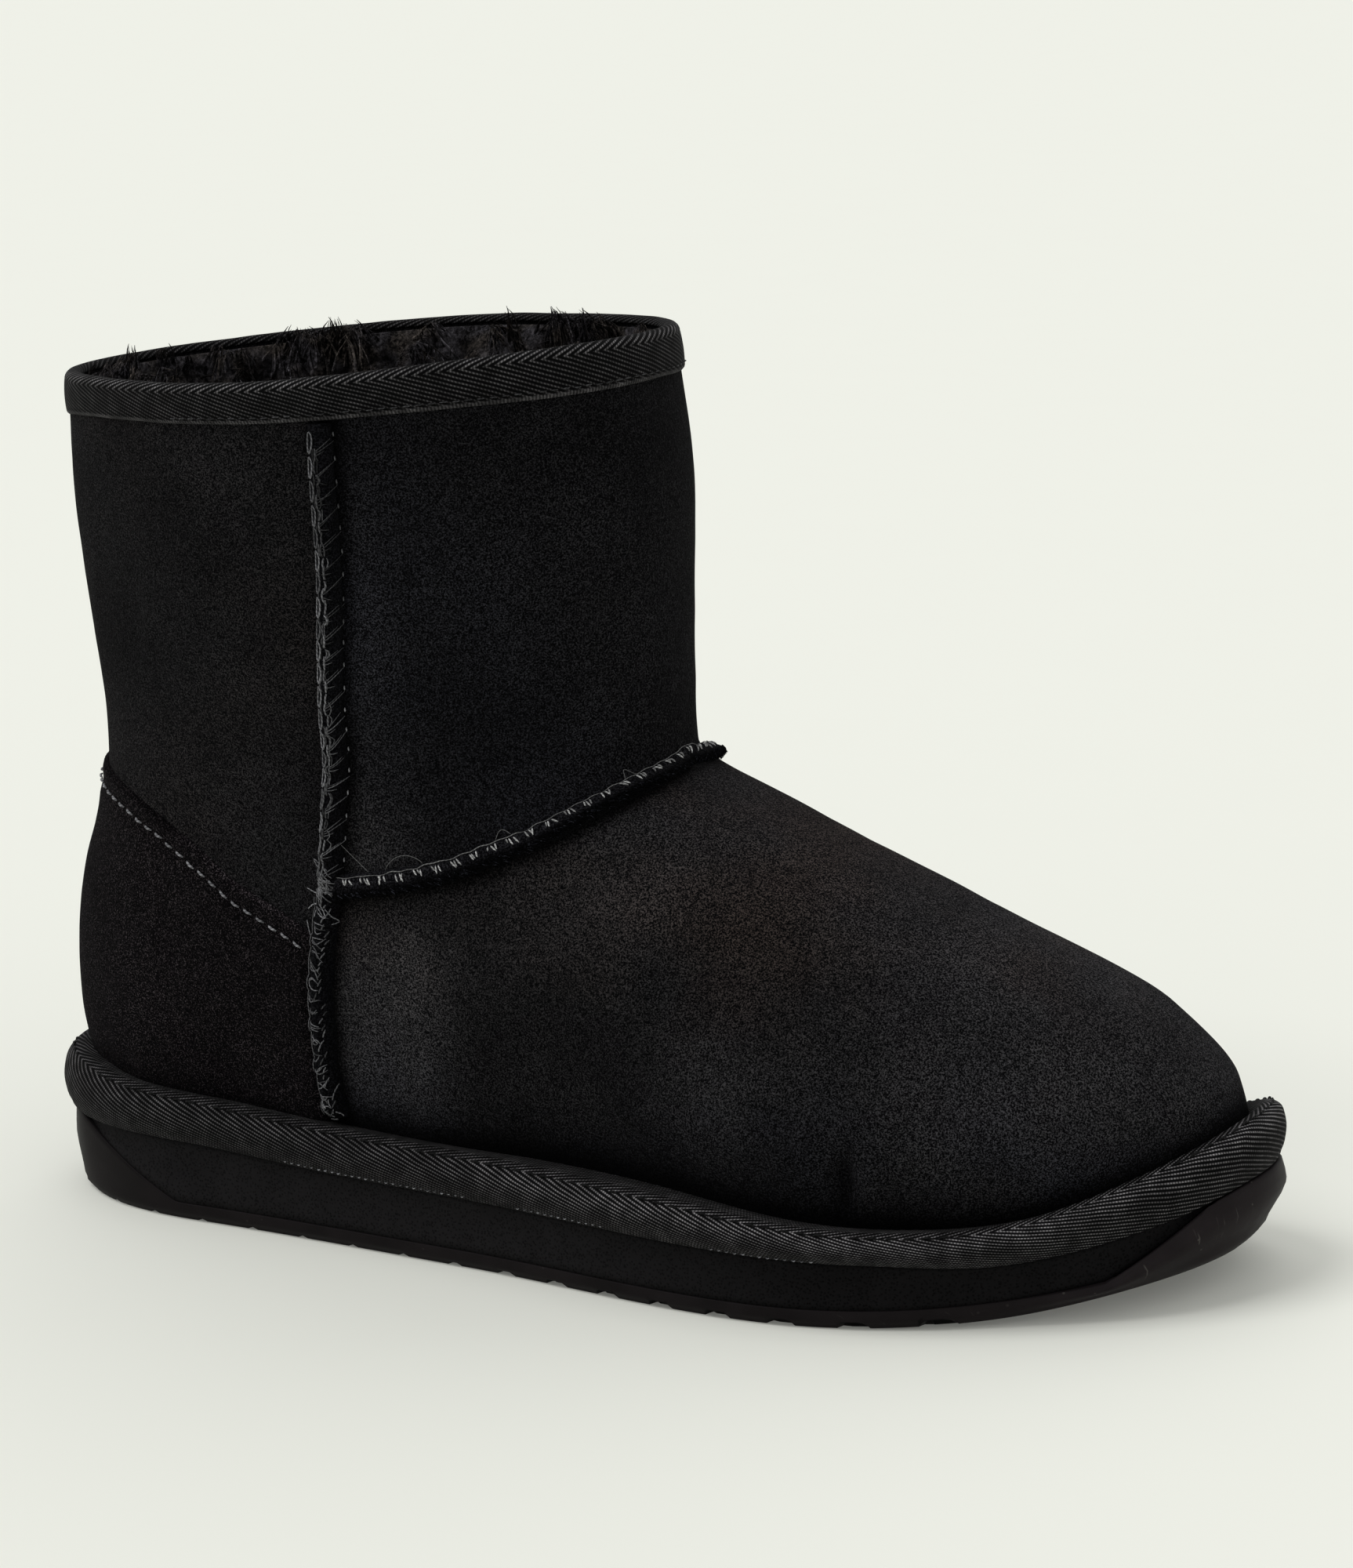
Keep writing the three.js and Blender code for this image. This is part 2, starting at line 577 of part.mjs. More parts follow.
// The same geometry with one vertex for each place.
function mergedByPosition(geometry) {
  const flat = geometry.index ? geometry.toNonIndexed() : geometry;
  const position = flat.getAttribute("position");
  const points = [];
  const known = new Map();
  const corner = (i) => {
    const point = new THREE.Vector3().fromBufferAttribute(position, i);
    const key = point.toArray().map((value) => value.toFixed(4)).join(" ");
    if (!known.has(key)) known.set(key, points.push(point) - 1);
    return known.get(key);
  };
  const triangles = [];
  for (let i = 0; i < position.count; i += 3) triangles.push([corner(i), corner(i + 1), corner(i + 2)]);
  return geometryFrom(points, triangles);
}

// Finishes

const finish = (color, roughness) => new THREE.MeshStandardMaterial({ color, roughness, metalness: 0 });
const rubber = finish(0x2a2a2c, 0.6);
const foam = finish(0x1f1f21, 0.85);
const tape = finish(0x26262a, 0.9);
const wool = finish(0x0d0b0b, 1);
const suede = finish(0x131217, 0.95);
const counterSuede = finish(0x15131a, 0.95);
const seamSuede = finish(0x111118, 0.95);

// Assembly

const boot = new THREE.Group();

function add(name, geometry, material) {
  const mesh = new THREE.Mesh(geometry, material);
  mesh.name = name;
  boot.add(mesh);
}

add("outsole", outsoleGeometry(), rubber);
add("midsole", midsoleGeometry(), foam);
add("welt", weltGeometry(), tape);
add("insole", insoleGeometry(), wool);
add("upper", upperGeometry(), suede);
add("heel_counter", heelCounterGeometry(), counterSuede);
add("collar_binding", collarBindingGeometry(), tape.clone());
add("side_seam_outer", seamGeometry(sideSeamPlaces(false), SIDE_SEAM_PROUD, 0), seamSuede);
add("side_seam_inner", seamGeometry(sideSeamPlaces(true), SIDE_SEAM_PROUD, 0), seamSuede.clone());
add("vamp_seam", seamGeometry(vampSeamPlaces(), VAMP_SEAM_PROUD, VAMP_SEAM_BOW), seamSuede.clone());

const box = new THREE.Box3().setFromObject(boot);
const centre = box.getCenter(new THREE.Vector3());
boot.position.set(-centre.x, -centre.y, -box.min.z);

export default boot;
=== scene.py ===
import logging
from dataclasses import dataclass, field
from enum import Enum
from functools import cached_property
from typing import Callable, Optional, Sequence, Union

import bpy
import numpy as np
from mathutils import Matrix, Vector


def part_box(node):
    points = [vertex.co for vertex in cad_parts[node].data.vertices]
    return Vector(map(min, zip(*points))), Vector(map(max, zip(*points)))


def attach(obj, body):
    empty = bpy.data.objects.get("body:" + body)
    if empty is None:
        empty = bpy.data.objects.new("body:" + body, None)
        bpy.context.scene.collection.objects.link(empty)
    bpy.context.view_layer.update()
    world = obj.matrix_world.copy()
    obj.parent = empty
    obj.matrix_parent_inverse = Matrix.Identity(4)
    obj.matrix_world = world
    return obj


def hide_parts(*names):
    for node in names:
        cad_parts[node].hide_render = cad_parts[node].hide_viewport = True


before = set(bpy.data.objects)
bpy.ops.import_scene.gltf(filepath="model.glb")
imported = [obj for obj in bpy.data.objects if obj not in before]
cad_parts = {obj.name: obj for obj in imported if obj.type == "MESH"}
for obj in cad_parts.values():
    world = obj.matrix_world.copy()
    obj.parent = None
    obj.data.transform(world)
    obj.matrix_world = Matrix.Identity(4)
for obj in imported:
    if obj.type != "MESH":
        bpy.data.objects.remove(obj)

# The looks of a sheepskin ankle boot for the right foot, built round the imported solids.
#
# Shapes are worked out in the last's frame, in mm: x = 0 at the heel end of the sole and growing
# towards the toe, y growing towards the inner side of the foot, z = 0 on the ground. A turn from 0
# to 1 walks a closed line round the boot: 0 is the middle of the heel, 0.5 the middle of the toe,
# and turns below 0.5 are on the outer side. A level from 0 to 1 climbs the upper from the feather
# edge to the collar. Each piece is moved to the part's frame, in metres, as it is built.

LOG = logging.getLogger("boot")
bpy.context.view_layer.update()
MM = 0.001
BODY = "root"
Array = np.ndarray
Curve = Callable[[Array], Array]
Colour = tuple[float, float, float]
Material = bpy.types.Material
Piece = bpy.types.Object
Objects = list[Piece]
Numbers = tuple[float, ...]
Places = tuple[tuple[float, float], ...]


class Side(Enum):
    """The two sides of the boot; the value is the sign of y there."""

    OUTER = -1
    INNER = 1


# Numbers and curves

def smooth(share: Array) -> Array:
    """Eases a share from 0 to 1 with level ends: 3s^2 - 2s^3 of the clipped share."""
    s = np.clip(share, 0.0, 1.0)
    return s * s * (3.0 - 2.0 * s)


def mix(start: Array, end: Array, share: Array) -> Array:
    """Goes straight from start to end as share goes from 0 to 1."""
    return start + (end - start) * share


def rounded_end(share: Array, roundness: float = 2.2) -> Array:
    """A quarter superellipse: 0 at an end's tip, 1 once the share of its length reaches 1."""
    s = np.clip(share, 0.0, 1.0)
    return (1.0 - (1.0 - s) ** roundness) ** (1.0 / roundness)


def curve_through(xs: Sequence[float], ys: Sequence[float]) -> Curve:
    """Makes a monotone cubic through points, flat beyond its ends.

    Inner slopes are weighted harmonic means of the two neighbouring rises, and 0 where the rise
    changes sign; each stretch is the cubic with those slopes at its ends.

    Args:
        xs: Growing places.
        ys: Values at those places.

    Returns:
        A function of an array of places.
    """
    x = np.asarray(xs, float)
    y = np.asarray(ys, float)
    step = np.diff(x)
    rise = np.diff(y) / step
    slope = np.empty_like(x)
    slope[0], slope[-1] = rise[0], rise[-1]
    before = 2 * step[1:] + step[:-1]
    after = step[1:] + 2 * step[:-1]
    same_way = rise[:-1] * rise[1:] > 0
    safe = np.where(same_way, rise[:-1], 1.0), np.where(same_way, rise[1:], 1.0)
    slope[1:-1] = np.where(same_way, (before + after) / (before / safe[0] + after / safe[1]), 0.0)

    def value(at: Array) -> Array:
        """Evaluates the cubic at an array of places."""
        at = np.clip(np.asarray(at, float), x[0], x[-1])
        i = np.clip(np.searchsorted(x, at, side="right") - 1, 0, len(x) - 2)
        s = (at - x[i]) / step[i]
        start = (1 + 2 * s) * (1 - s) ** 2 * y[i] + s * (1 - s) ** 2 * step[i] * slope[i]
        end = s * s * (3 - 2 * s) * y[i + 1] + s * s * (s - 1) * step[i] * slope[i + 1]
        return start + end

    return value


def unit(vectors: Array) -> Array:
    """Scales vectors along the last axis to length 1."""
    return vectors / np.maximum(np.linalg.norm(vectors, axis=-1, keepdims=True), 1e-12)


def lattice_noise(points: Array, cell: float, seed: int) -> Array:
    """Smooth noise in space: random values at the corners of a cubic lattice, eased between them.

    Args:
        points: Places, with 2 or 3 coordinates along the last axis.
        cell: Edge of a lattice cube, in the points' unit.
        seed: Chooses the random values.

    Returns:
        A number from -1 to 1 for each place.
    """
    if points.shape[-1] == 2:
        points = np.concatenate([points, np.zeros(points.shape[:-1] + (1,))], axis=-1)
    scaled = points / cell
    corner = np.floor(scaled).astype(np.int64)
    inside = smooth(scaled - corner)
    total = np.zeros(points.shape[:-1])
    for step in np.ndindex(2, 2, 2):
        key = (corner + step) * (73856093, 19349663, 83492791)
        key = key[..., 0] ^ key[..., 1] ^ key[..., 2] ^ (seed * 2654435761)
        key = (key ^ (key >> 13)) * 1274126177 & 0xFFFFFFFF
        value = ((key ^ (key >> 16)) & 0xFFFF) / 32767.5 - 1.0
        total += value * np.where(step, inside, 1 - inside).prod(axis=-1)
    return total


def line_noise(at: Array, cell: float, seed: int) -> Array:
    """Lattice noise at places along a line."""
    return lattice_noise(np.stack([at, at * 0], -1), cell, seed)


def layered_noise(points: Array, cell: float, seed: int, octaves: int = 3) -> Array:
    """Adds lattice noise of halving cell and strength, scaled back to about -1..1."""
    total = sum(0.5 ** k * lattice_noise(points, cell / 2 ** k, seed + 17 * k) for k in range(octaves))
    return total / (2.0 - 0.5 ** (octaves - 1))


# The form of the boot

@dataclass(frozen=True)
class Last:
    """The form that every piece is shaped on: the sole's plan and profile, and the upper's rings."""

    length: float = 262.0
    ball_half: float = 45.0
    height: float = 180.0
    toe_spring: float = 8.8
    spring_start: float = 0.7
    spring_curve: float = 2.45
    gap: float = 0.3
    wall: float = 8.0
    heel_round: float = 0.17
    toe_round: float = 0.33
    inner_width: float = 0.97
    rim_outer_dip: float = 1.8
    rim_inner_rise: float = 1.0
    rim_from: float = 0.7
    arch_draw: float = 4.5
    arch_at: float = 0.43
    arch_spread: float = 0.27
    arch_fade: float = 0.4
    seat_fade: float = 0.35
    swing_fade: float = 0.6
    stations: tuple[float, float, float] = (0.15, 0.45, 0.72)
    outline_at: Numbers = (0.0, 0.13, 0.42, 0.68, 1.0)
    outline_outer: Numbers = (0.703, 0.724, 0.856, 1.031, 0.931)
    outline_inner: Numbers = (0.733, 0.756, 0.733, 0.978, 0.965)
    outline_swing: Numbers = (0.0, 0.0, -0.03, -0.06, 0.196)
    profile_at: Numbers = (0.0, 0.13, 0.31, 0.56, 0.77, 0.87, 0.96, 1.0)
    profile_sole: Numbers = (17.4, 17.4, 15.4, 14.3, 12.9, 10.8, 12.2, 13.9)
    profile_rand: Numbers = (1.5, 1.08, 1.0, 0.95, 0.62, 0.84, 1.25, 1.4)
    ring_back_rise: Numbers = (0.098, 0.15, 0.222, 0.306, 0.389, 0.472, 0.556, 0.628, 0.8, 0.964)
    ring_front_rise: Numbers = (0.074, 0.125, 0.203, 0.294, 0.383, 0.472, 0.556, 0.65, 0.834, 1.009)
    ring_back: Numbers = (0.025, 0.0225, 0.0125, 0.0185, 0.029, 0.047, 0.0545, 0.0515, 0.042, 0.0453)
    ring_front: Numbers = (0.975, 0.985, 0.979, 0.937, 0.811, 0.668, 0.553, 0.55, 0.5535, 0.5387)
    ring_heel: Numbers = (0.59, 0.61, 0.645, 0.711, 0.711, 0.733, 0.798, 0.887, 0.973, 1.018)
    ring_waist: Numbers = (0.72, 0.745, 0.795, 0.798, 0.798, 0.798, 0.842, 0.929, 1.018, 1.062)
    ring_ball: Numbers = (0.875, 0.9, 0.985, 0.893, 0.82, 0.776, 0.798, 0.864, 0.951, 0.996)
    ring_back_round: Numbers = (0.17, 0.17, 0.19, 0.22, 0.25, 0.3, 0.4, 0.5, 0.5, 0.5)
    ring_front_round: Numbers = (0.33, 0.33, 0.36, 0.42, 0.5, 0.55, 0.6, 0.5, 0.5, 0.5)

    def ring(self, name: str, level: Array) -> Array:
        """Reads one column of the upper's ring table at a level."""
        column = getattr(self, "ring_" + name)
        return curve_through(np.linspace(0, 1, len(column)), column)(level)

    def swing(self, x: Array) -> Array:
        """How far the middle line of the sole lies towards the inner side at x."""
        return curve_through(self.outline_at, self.outline_swing)(x / self.length) * self.ball_half

    def spring(self, x: Array) -> Array:
        """Rise of the sole's underside towards the toe: a power of the distance past its start."""
        past = np.maximum(0.0, (x / self.length - self.spring_start) / (1 - self.spring_start))
        return self.toe_spring * past ** self.spring_curve

    def sole_thickness(self, x: Array) -> Array:
        """Thickness of the whole sole at x."""
        return curve_through(self.profile_at, self.profile_sole)(x / self.length)

    def seat(self, x: Array) -> Array:
        """Height of the sole's top face at x."""
        return self.sole_thickness(x) + self.spring(x)

    def rand_scale(self, x: Array) -> Array:
        """Height of the rand at x beside its normal height."""
        return curve_through(self.profile_at, self.profile_rand)(x / self.length)

    def outline(self, turn: Array) -> Array:
        """The sole's plan outline: a half-width curve for each side, rounded at both ends.

        Args:
            turn: Turns.

        Returns:
            Places, x, y last.
        """
        turn = np.mod(turn, 1.0)
        s = (1 - np.cos(2 * np.pi * turn)) / 2
        ends = rounded_end(s / self.heel_round) * rounded_end((1 - s) / self.toe_round)
        outer = -curve_through(self.outline_at, self.outline_outer)(s)
        inner = curve_through(self.outline_at, self.outline_inner)(s)
        half = np.where(turn < 0.5, outer, inner)
        x = s * self.length
        return np.stack([x, self.swing(x) + half * self.ball_half * ends], axis=-1)

    def outline_offset(self, turn: Array, out: Array) -> Array:
        """The plan point that stands `out` beyond the sole's outline, along its normal.

        Args:
            turn: Turns.
            out: Distance outwards.

        Returns:
            Places, x, y last.
        """
        nudge = 1 / 2000
        along = unit(self.outline(turn + nudge) - self.outline(turn - nudge))
        away = np.stack([along[..., 1], -along[..., 0]], axis=-1)
        return self.outline(turn) + away * np.asarray(out)[..., None]

    def ring_height(self, level: Array, s: Array) -> Array:
        """Height of the upper's ring at a level, from its back height to its front height."""
        return self.height * mix(self.ring("back_rise", level), self.ring("front_rise", level), s)

    def point(self, level: Array, turn: Array) -> Array:
        """A point of the upper's outer face.

        The half-width eases from the heel's to the waist's to the ball's along the ring, both ends
        are rounded, and the lower rings follow the sole's swing, spring and arch.

        Args:
            level: Levels.
            turn: Turns.

        Returns:
            Places, x, y, z last.
        """
        level, turn = np.broadcast_arrays(np.asarray(level, float), np.mod(turn, 1.0))
        s = (1 - np.cos(2 * np.pi * turn)) / 2
        heel_at, waist_at, ball_at = self.stations
        to_waist = mix(self.ring("heel", level), self.ring("waist", level),
                       smooth((s - heel_at) / (waist_at - heel_at)))
        half = self.ball_half * mix(to_waist, self.ring("ball", level),
                                    smooth((s - waist_at) / (ball_at - waist_at)))
        ends = (rounded_end(s / self.ring("back_round", level))
                * rounded_end((1 - s) / self.ring("front_round", level)))
        x = self.length * mix(self.ring("back", level), self.ring("front", level), s)
        arch = (self.arch_draw * (1 - smooth(level / self.arch_fade))
                * (1 - smooth(np.abs(s - self.arch_at) / self.arch_spread)))
        outside = turn < 0.5
        reach = np.where(outside, -half, self.inner_width * half - arch)
        y = self.swing(x) * (1 - smooth(level / self.swing_fade)) + reach * ends
        drop = self.seat(x) + self.gap - self.ring_height(0.0, s)
        rim = np.where(outside, -self.rim_outer_dip, self.rim_inner_rise) * np.sin(np.pi * s) ** 2
        z = self.ring_height(level, s) + drop * (1 - smooth(level / self.seat_fade))
        z = z + rim * smooth((level - self.rim_from) / (1 - self.rim_from))
        return np.stack([x, y, z], axis=-1)

    def normal(self, level: Array, turn: Array) -> Array:
        """The upper's outward normal, laid level at the feather edge and the collar.

        Args:
            level: Levels.
            turn: Turns.

        Returns:
            Unit vectors.
        """
        level, turn = np.broadcast_arrays(np.asarray(level, float), np.asarray(turn, float))
        nudge = 1 / 1000
        around = self.point(level, turn + nudge) - self.point(level, turn - nudge)
        up = (self.point(np.minimum(1, level + nudge), turn)
              - self.point(np.maximum(0, level - nudge), turn))
        normal = unit(np.cross(around, up))
        normal[..., 2] *= smooth(level / 0.12) * smooth((1 - level) / 0.12)
        return unit(normal)

    def beyond(self, level: Array, turn: Array, out: Array) -> Array:
        """The point that stands `out` beyond the upper's outer face."""
        return self.point(level, turn) + self.normal(level, turn) * np.asarray(out)[..., None]

    def turn_at(self, level: Array, x: Array) -> Array:
        """The turn, on the outer side, where the ring of a level has this x."""
        back, front = (self.ring(end, level) * self.length for end in ("back", "front"))
        return np.arccos(1 - 2 * np.clip((x - back) / (front - back), 0, 1)) / (2 * np.pi)

    def place(self, x: Array, z: Array) -> tuple[Array, Array]:
        """Finds where the outer side of the upper has this x and z, by halving the level.

        Args:
            x: Places along the boot.
            z: Heights.

        Returns:
            The levels and the turns there.
        """
        x, z = np.broadcast_arrays(np.asarray(x, float), np.asarray(z, float))
        low, high = np.zeros(x.shape), np.ones(x.shape)
        turn = np.zeros(x.shape)
        for _ in range(36):
            level = (low + high) / 2
            turn = self.turn_at(level, x)
            below = self.point(level, turn)[..., 2] < z
            low, high = np.where(below, level, low), np.where(below, high, level)
        return (low + high) / 2, turn


LAST = Last()


def frame_shift() -> Array:
    """Finds how the last's frame is moved to the part's frame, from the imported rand's box.

    Returns:
        The move in mm.
    """
    turn = np.arange(64) / 64
    ring = LAST.outline_offset(turn, 3.5)
    own = (ring.min(axis=0) + ring.max(axis=0)) / 2
    low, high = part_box("welt")
    packed = (np.array(low) + np.array(high)) / 2 / MM
    return np.array([packed[0] - own[0], packed[1] - own[1], 0.0])


SHIFT = frame_shift()


# Meshes

def add_object(name: str, data: bpy.types.ID) -> Piece:
    """Puts an object for a mesh, a lamp or a camera into the scene.

    Args:
        name: Its name.
        data: What it shows or is.

    Returns:
        The object.
    """
    made = bpy.data.objects.new(name, data)
    bpy.context.scene.collection.objects.link(made)
    return made


def wrap(table: Array, axis: int = 1) -> Array:
    """Repeats a table's first column, or row, after its last one, which closes a grid on itself."""
    return np.concatenate([table, table.take([0], axis)], axis)


def cell_faces(table: Array) -> Array:
    """Gathers the four corners of each cell of a table whose last two axes are rows and columns."""
    corners = (table[..., :-1, :-1], table[..., :-1, 1:], table[..., 1:, 1:], table[..., 1:, :-1])
    return np.stack([corner.ravel() for corner in corners], axis=1)


def cell_uv(u: Array, v: Array) -> Array:
    """Gathers the coordinates u and v of each cell's corners, in the order of cell_faces."""
    return np.stack([cell_faces(part) for part in np.broadcast_arrays(u, v)], axis=-1)


def lengths(line: Array) -> Array:
    """How far along a line each of its points is."""
    return np.concatenate([[0.0], np.cumsum(np.linalg.norm(np.diff(line, axis=0), axis=-1))])


def read_along(at: Array, distance: Array, values: Array) -> Array:
    """Reads a table of vectors, held at growing distances, at other distances."""
    return np.stack([np.interp(at, distance, values[:, k]) for k in range(3)], axis=-1)


class Sheetwork:
    """Gathers the points, faces, texture coordinates and attributes of one piece, in the last's mm."""

    def __init__(self) -> None:
        """Starts with nothing."""
        self.points: list[Array] = []
        self.faces: list[Array] = []
        self.uvs: list[Array] = []
        self.attributes: dict[str, list[Array]] = {}
        self.count = 0

    def add(self, points: Array, faces: Sequence[Array], uv: Optional[Array] = None,
            **attributes: Array) -> None:
        """Adds points and the faces between them.

        Args:
            points: Places, any shape with x, y, z last.
            faces: Tables of vertex numbers, one table for each number of corners.
            uv: Texture coordinates of the first table's corners, in mm; all others are 0.
            attributes: Named numbers for each point.
        """
        for table in faces:
            self.faces.append(table + self.count)
            self.uvs.append(np.zeros(table.shape + (2,)))
        if uv is not None:
            self.uvs[-len(faces)][:len(uv)] = uv
        for name in {**self.attributes, **attributes}:
            held = self.attributes.setdefault(name, [np.zeros(self.count)])
            held.append(np.broadcast_to(attributes.get(name, 0.0), points.shape[:-1]).ravel())
        self.points.append(points.reshape(-1, 3))
        self.count += len(self.points[-1])

    def add_hoop(self, points: Array, u: Array, v: Array, **attributes: Array) -> None:
        """Adds a grid whose rows, round the section, and columns, round the boot, close on themselves."""
        table = np.arange(points[..., 0].size).reshape(points.shape[:2])
        self.add(points, [cell_faces(wrap(wrap(table, 0)))], cell_uv(u, v[:, None]), **attributes)

    def add_bar(self, points: Array, u: Array, v: Array, **attributes: Array) -> None:
        """Adds a bar: a grid whose rows run along a path, whose columns close round the section.

        Args:
            points: Rows along the path by columns round the section.
            u: Texture coordinate round the section, one value past the columns.
            v: Texture coordinate along the path.
            attributes: Named numbers for each point.
        """
        table = np.arange(points[..., 0].size).reshape(points.shape[:2])
        caps = np.stack([table[0, ::-1], table[-1]])
        self.add(points, [cell_faces(wrap(table)), caps], cell_uv(u, v[:, None]), **attributes)

    def add_stack(self, rings: Array, u: Array, floor: Optional[Array] = None,
                  roof: Optional[Array] = None) -> None:
        """Adds a solid from rings round the boot, closed below the first and above the last.

        A cap is a ladder of rows between the ring's two sides, and a fan at each of its two tips.

        Args:
            rings: Rings by points; the first point and the middle one are the tips.
            u: Texture coordinate round the ring, one value past the points.
            floor: Inner points of the lower cap, rungs by points; straight if missing.
            roof: Inner points of the upper cap.
        """
        rows, cols = rings.shape[:2]
        half = cols // 2
        table = np.arange(rows * cols).reshape(rows, cols)
        points, quads, fans = [rings.reshape(-1, 3)], [cell_faces(wrap(table))], []
        total = rows * cols
        for end, inner, turn in ((0, floor, 1), (-1, roof, -1)):
            ring, place = table[end], rings[end]
            if inner is None:
                share = np.linspace(0, 1, 10)[1:-1, None]
                inner = mix(place[1:half, None], place[:half:-1, None], share)
            inside = np.arange(inner[..., 0].size).reshape(inner.shape[:2]) + total
            total += inside.size
            points.append(inner.reshape(-1, 3))
            ladder = np.concatenate([ring[1:half, None], inside, ring[:half:-1, None]], axis=1)
            quads.append(cell_faces(ladder)[:, ::turn])
            for tip, low, high in ((ring[0], ladder[0, 1:], ladder[0, :-1]),
                                   (ring[half], ladder[-1, :-1], ladder[-1, 1:])):
                fans.append(np.stack([np.full_like(low, tip), low, high], 1)[:, ::turn])
        self.add(np.concatenate(points), [np.concatenate(quads), np.concatenate(fans)],
                 cell_uv(u, np.arange(rows)[:, None]))

    def add_strands(self, paths: Array, radius: Array, sides: int = 6,
                    lean: Optional[Array] = None, **attributes: Array) -> None:
        """Adds round strands, each a ring of points carried along its path and closed at both ends.

        Args:
            paths: Strands by points along each strand by x, y, z.
            radius: Radius at each point.
            sides: Points round a ring.
            lean: Where each strand's rings start from; upwards if missing.
            attributes: Named numbers, one for each strand.
        """
        count, steps = paths.shape[:2]
        along = unit(np.gradient(paths, axis=1))
        start = np.zeros((count, 1, 3)) + (0.3, 0.4, 0.87) if lean is None else lean[:, None, :]
        across = unit(np.cross(along, start))[:, :, None]
        other = np.cross(along[:, :, None], across)
        angle = 2 * np.pi * np.arange(sides)[:, None] / sides
        thick = np.broadcast_to(radius, (count, steps))[..., None, None]
        rings = paths[:, :, None] + thick * (np.cos(angle) * across + np.sin(angle) * other)
        table = np.arange(count * steps * sides).reshape(count, steps, sides)
        caps = np.concatenate([table[:, 0, ::-1], table[:, -1]])
        run = np.zeros((count, steps, 1))
        run[:, 1:, 0] = np.cumsum(np.linalg.norm(np.diff(paths, axis=1), axis=-1), axis=1)
        spread = {name: np.asarray(values)[:, None, None] for name, values in attributes.items()}
        self.add(rings, [cell_faces(wrap(table, 2)), caps],
                 cell_uv(run, np.arange(sides + 1) / sides), **spread)

    def build(self, name: str, material: Material, slot: str, stands_for: Sequence[str] = ()) -> Piece:
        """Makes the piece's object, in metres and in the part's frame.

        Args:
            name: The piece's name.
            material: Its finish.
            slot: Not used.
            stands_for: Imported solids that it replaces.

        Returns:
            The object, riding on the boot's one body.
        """
        points = (np.concatenate(self.points) + SHIFT) * MM
        sizes = np.concatenate([np.full(len(table), table.shape[1]) for table in self.faces])
        corners = np.concatenate([table.ravel() for table in self.faces])
        mesh = bpy.data.meshes.new(name)
        mesh.vertices.add(len(points))
        mesh.loops.add(len(corners))
        mesh.polygons.add(len(sizes))
        for data, label, values in (
                (mesh.vertices, "co", points.astype(np.float32).ravel()),
                (mesh.loops, "vertex_index", corners.astype(np.int32)),
                (mesh.polygons, "loop_start", (np.cumsum(sizes) - sizes).astype(np.int32)),
                (mesh.polygons, "loop_total", sizes.astype(np.int32)),
                (mesh.polygons, "use_smooth", np.ones(len(sizes), bool))):
            data.foreach_set(label, values)
        uv = np.concatenate([table.ravel() for table in self.uvs]).astype(np.float32)
        mesh.uv_layers.new(name="mm").data.foreach_set("uv", uv)
        for label, values in self.attributes.items():
            attribute = mesh.attributes.new(label, "FLOAT", "POINT")
            attribute.data.foreach_set("value", np.concatenate(values).astype(np.float32))
        mesh.update(calc_edges=True)
        mesh.validate()
        mesh.materials.append(material)
        piece = add_object(name, mesh)
        if stands_for:
            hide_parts(*stands_for)
        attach(piece, BODY)
        LOG.info("%s: %d faces", name, len(sizes))
        return piece


# Node graphs for the finishes

@dataclass
class Signal:
    """An output of a shader node; arithmetic on it adds Math nodes."""

    shader: "Shader"
    socket: bpy.types.NodeSocket

    def math(self, operation: str, other: "Input" = 0.0) -> "Signal":
        """Adds one Math node on this number and another."""
        return self.shader.node("Math", {0: self, 1: other}, operation=operation)

    def __add__(self, other: "Input") -> "Signal":
        """The sum."""
        return self.math("ADD", other)

    def __sub__(self, other: "Input") -> "Signal":
        """The difference."""
        return self.math("SUBTRACT", other)

    def __mul__(self, other: "Input") -> "Signal":
        """The product."""
        return self.math("MULTIPLY", other)

    def ease(self, low: float, high: float, start: float = 0.0, end: float = 1.0) -> "Signal":
        """Goes smoothly from start to end as this number goes from low to high."""
        return self.shader.node("MapRange", {0: self, 1: low, 2: high, 3: start, 4: end},
                                interpolation_type="SMOOTHSTEP")


Input = Union[Signal, float, Colour]


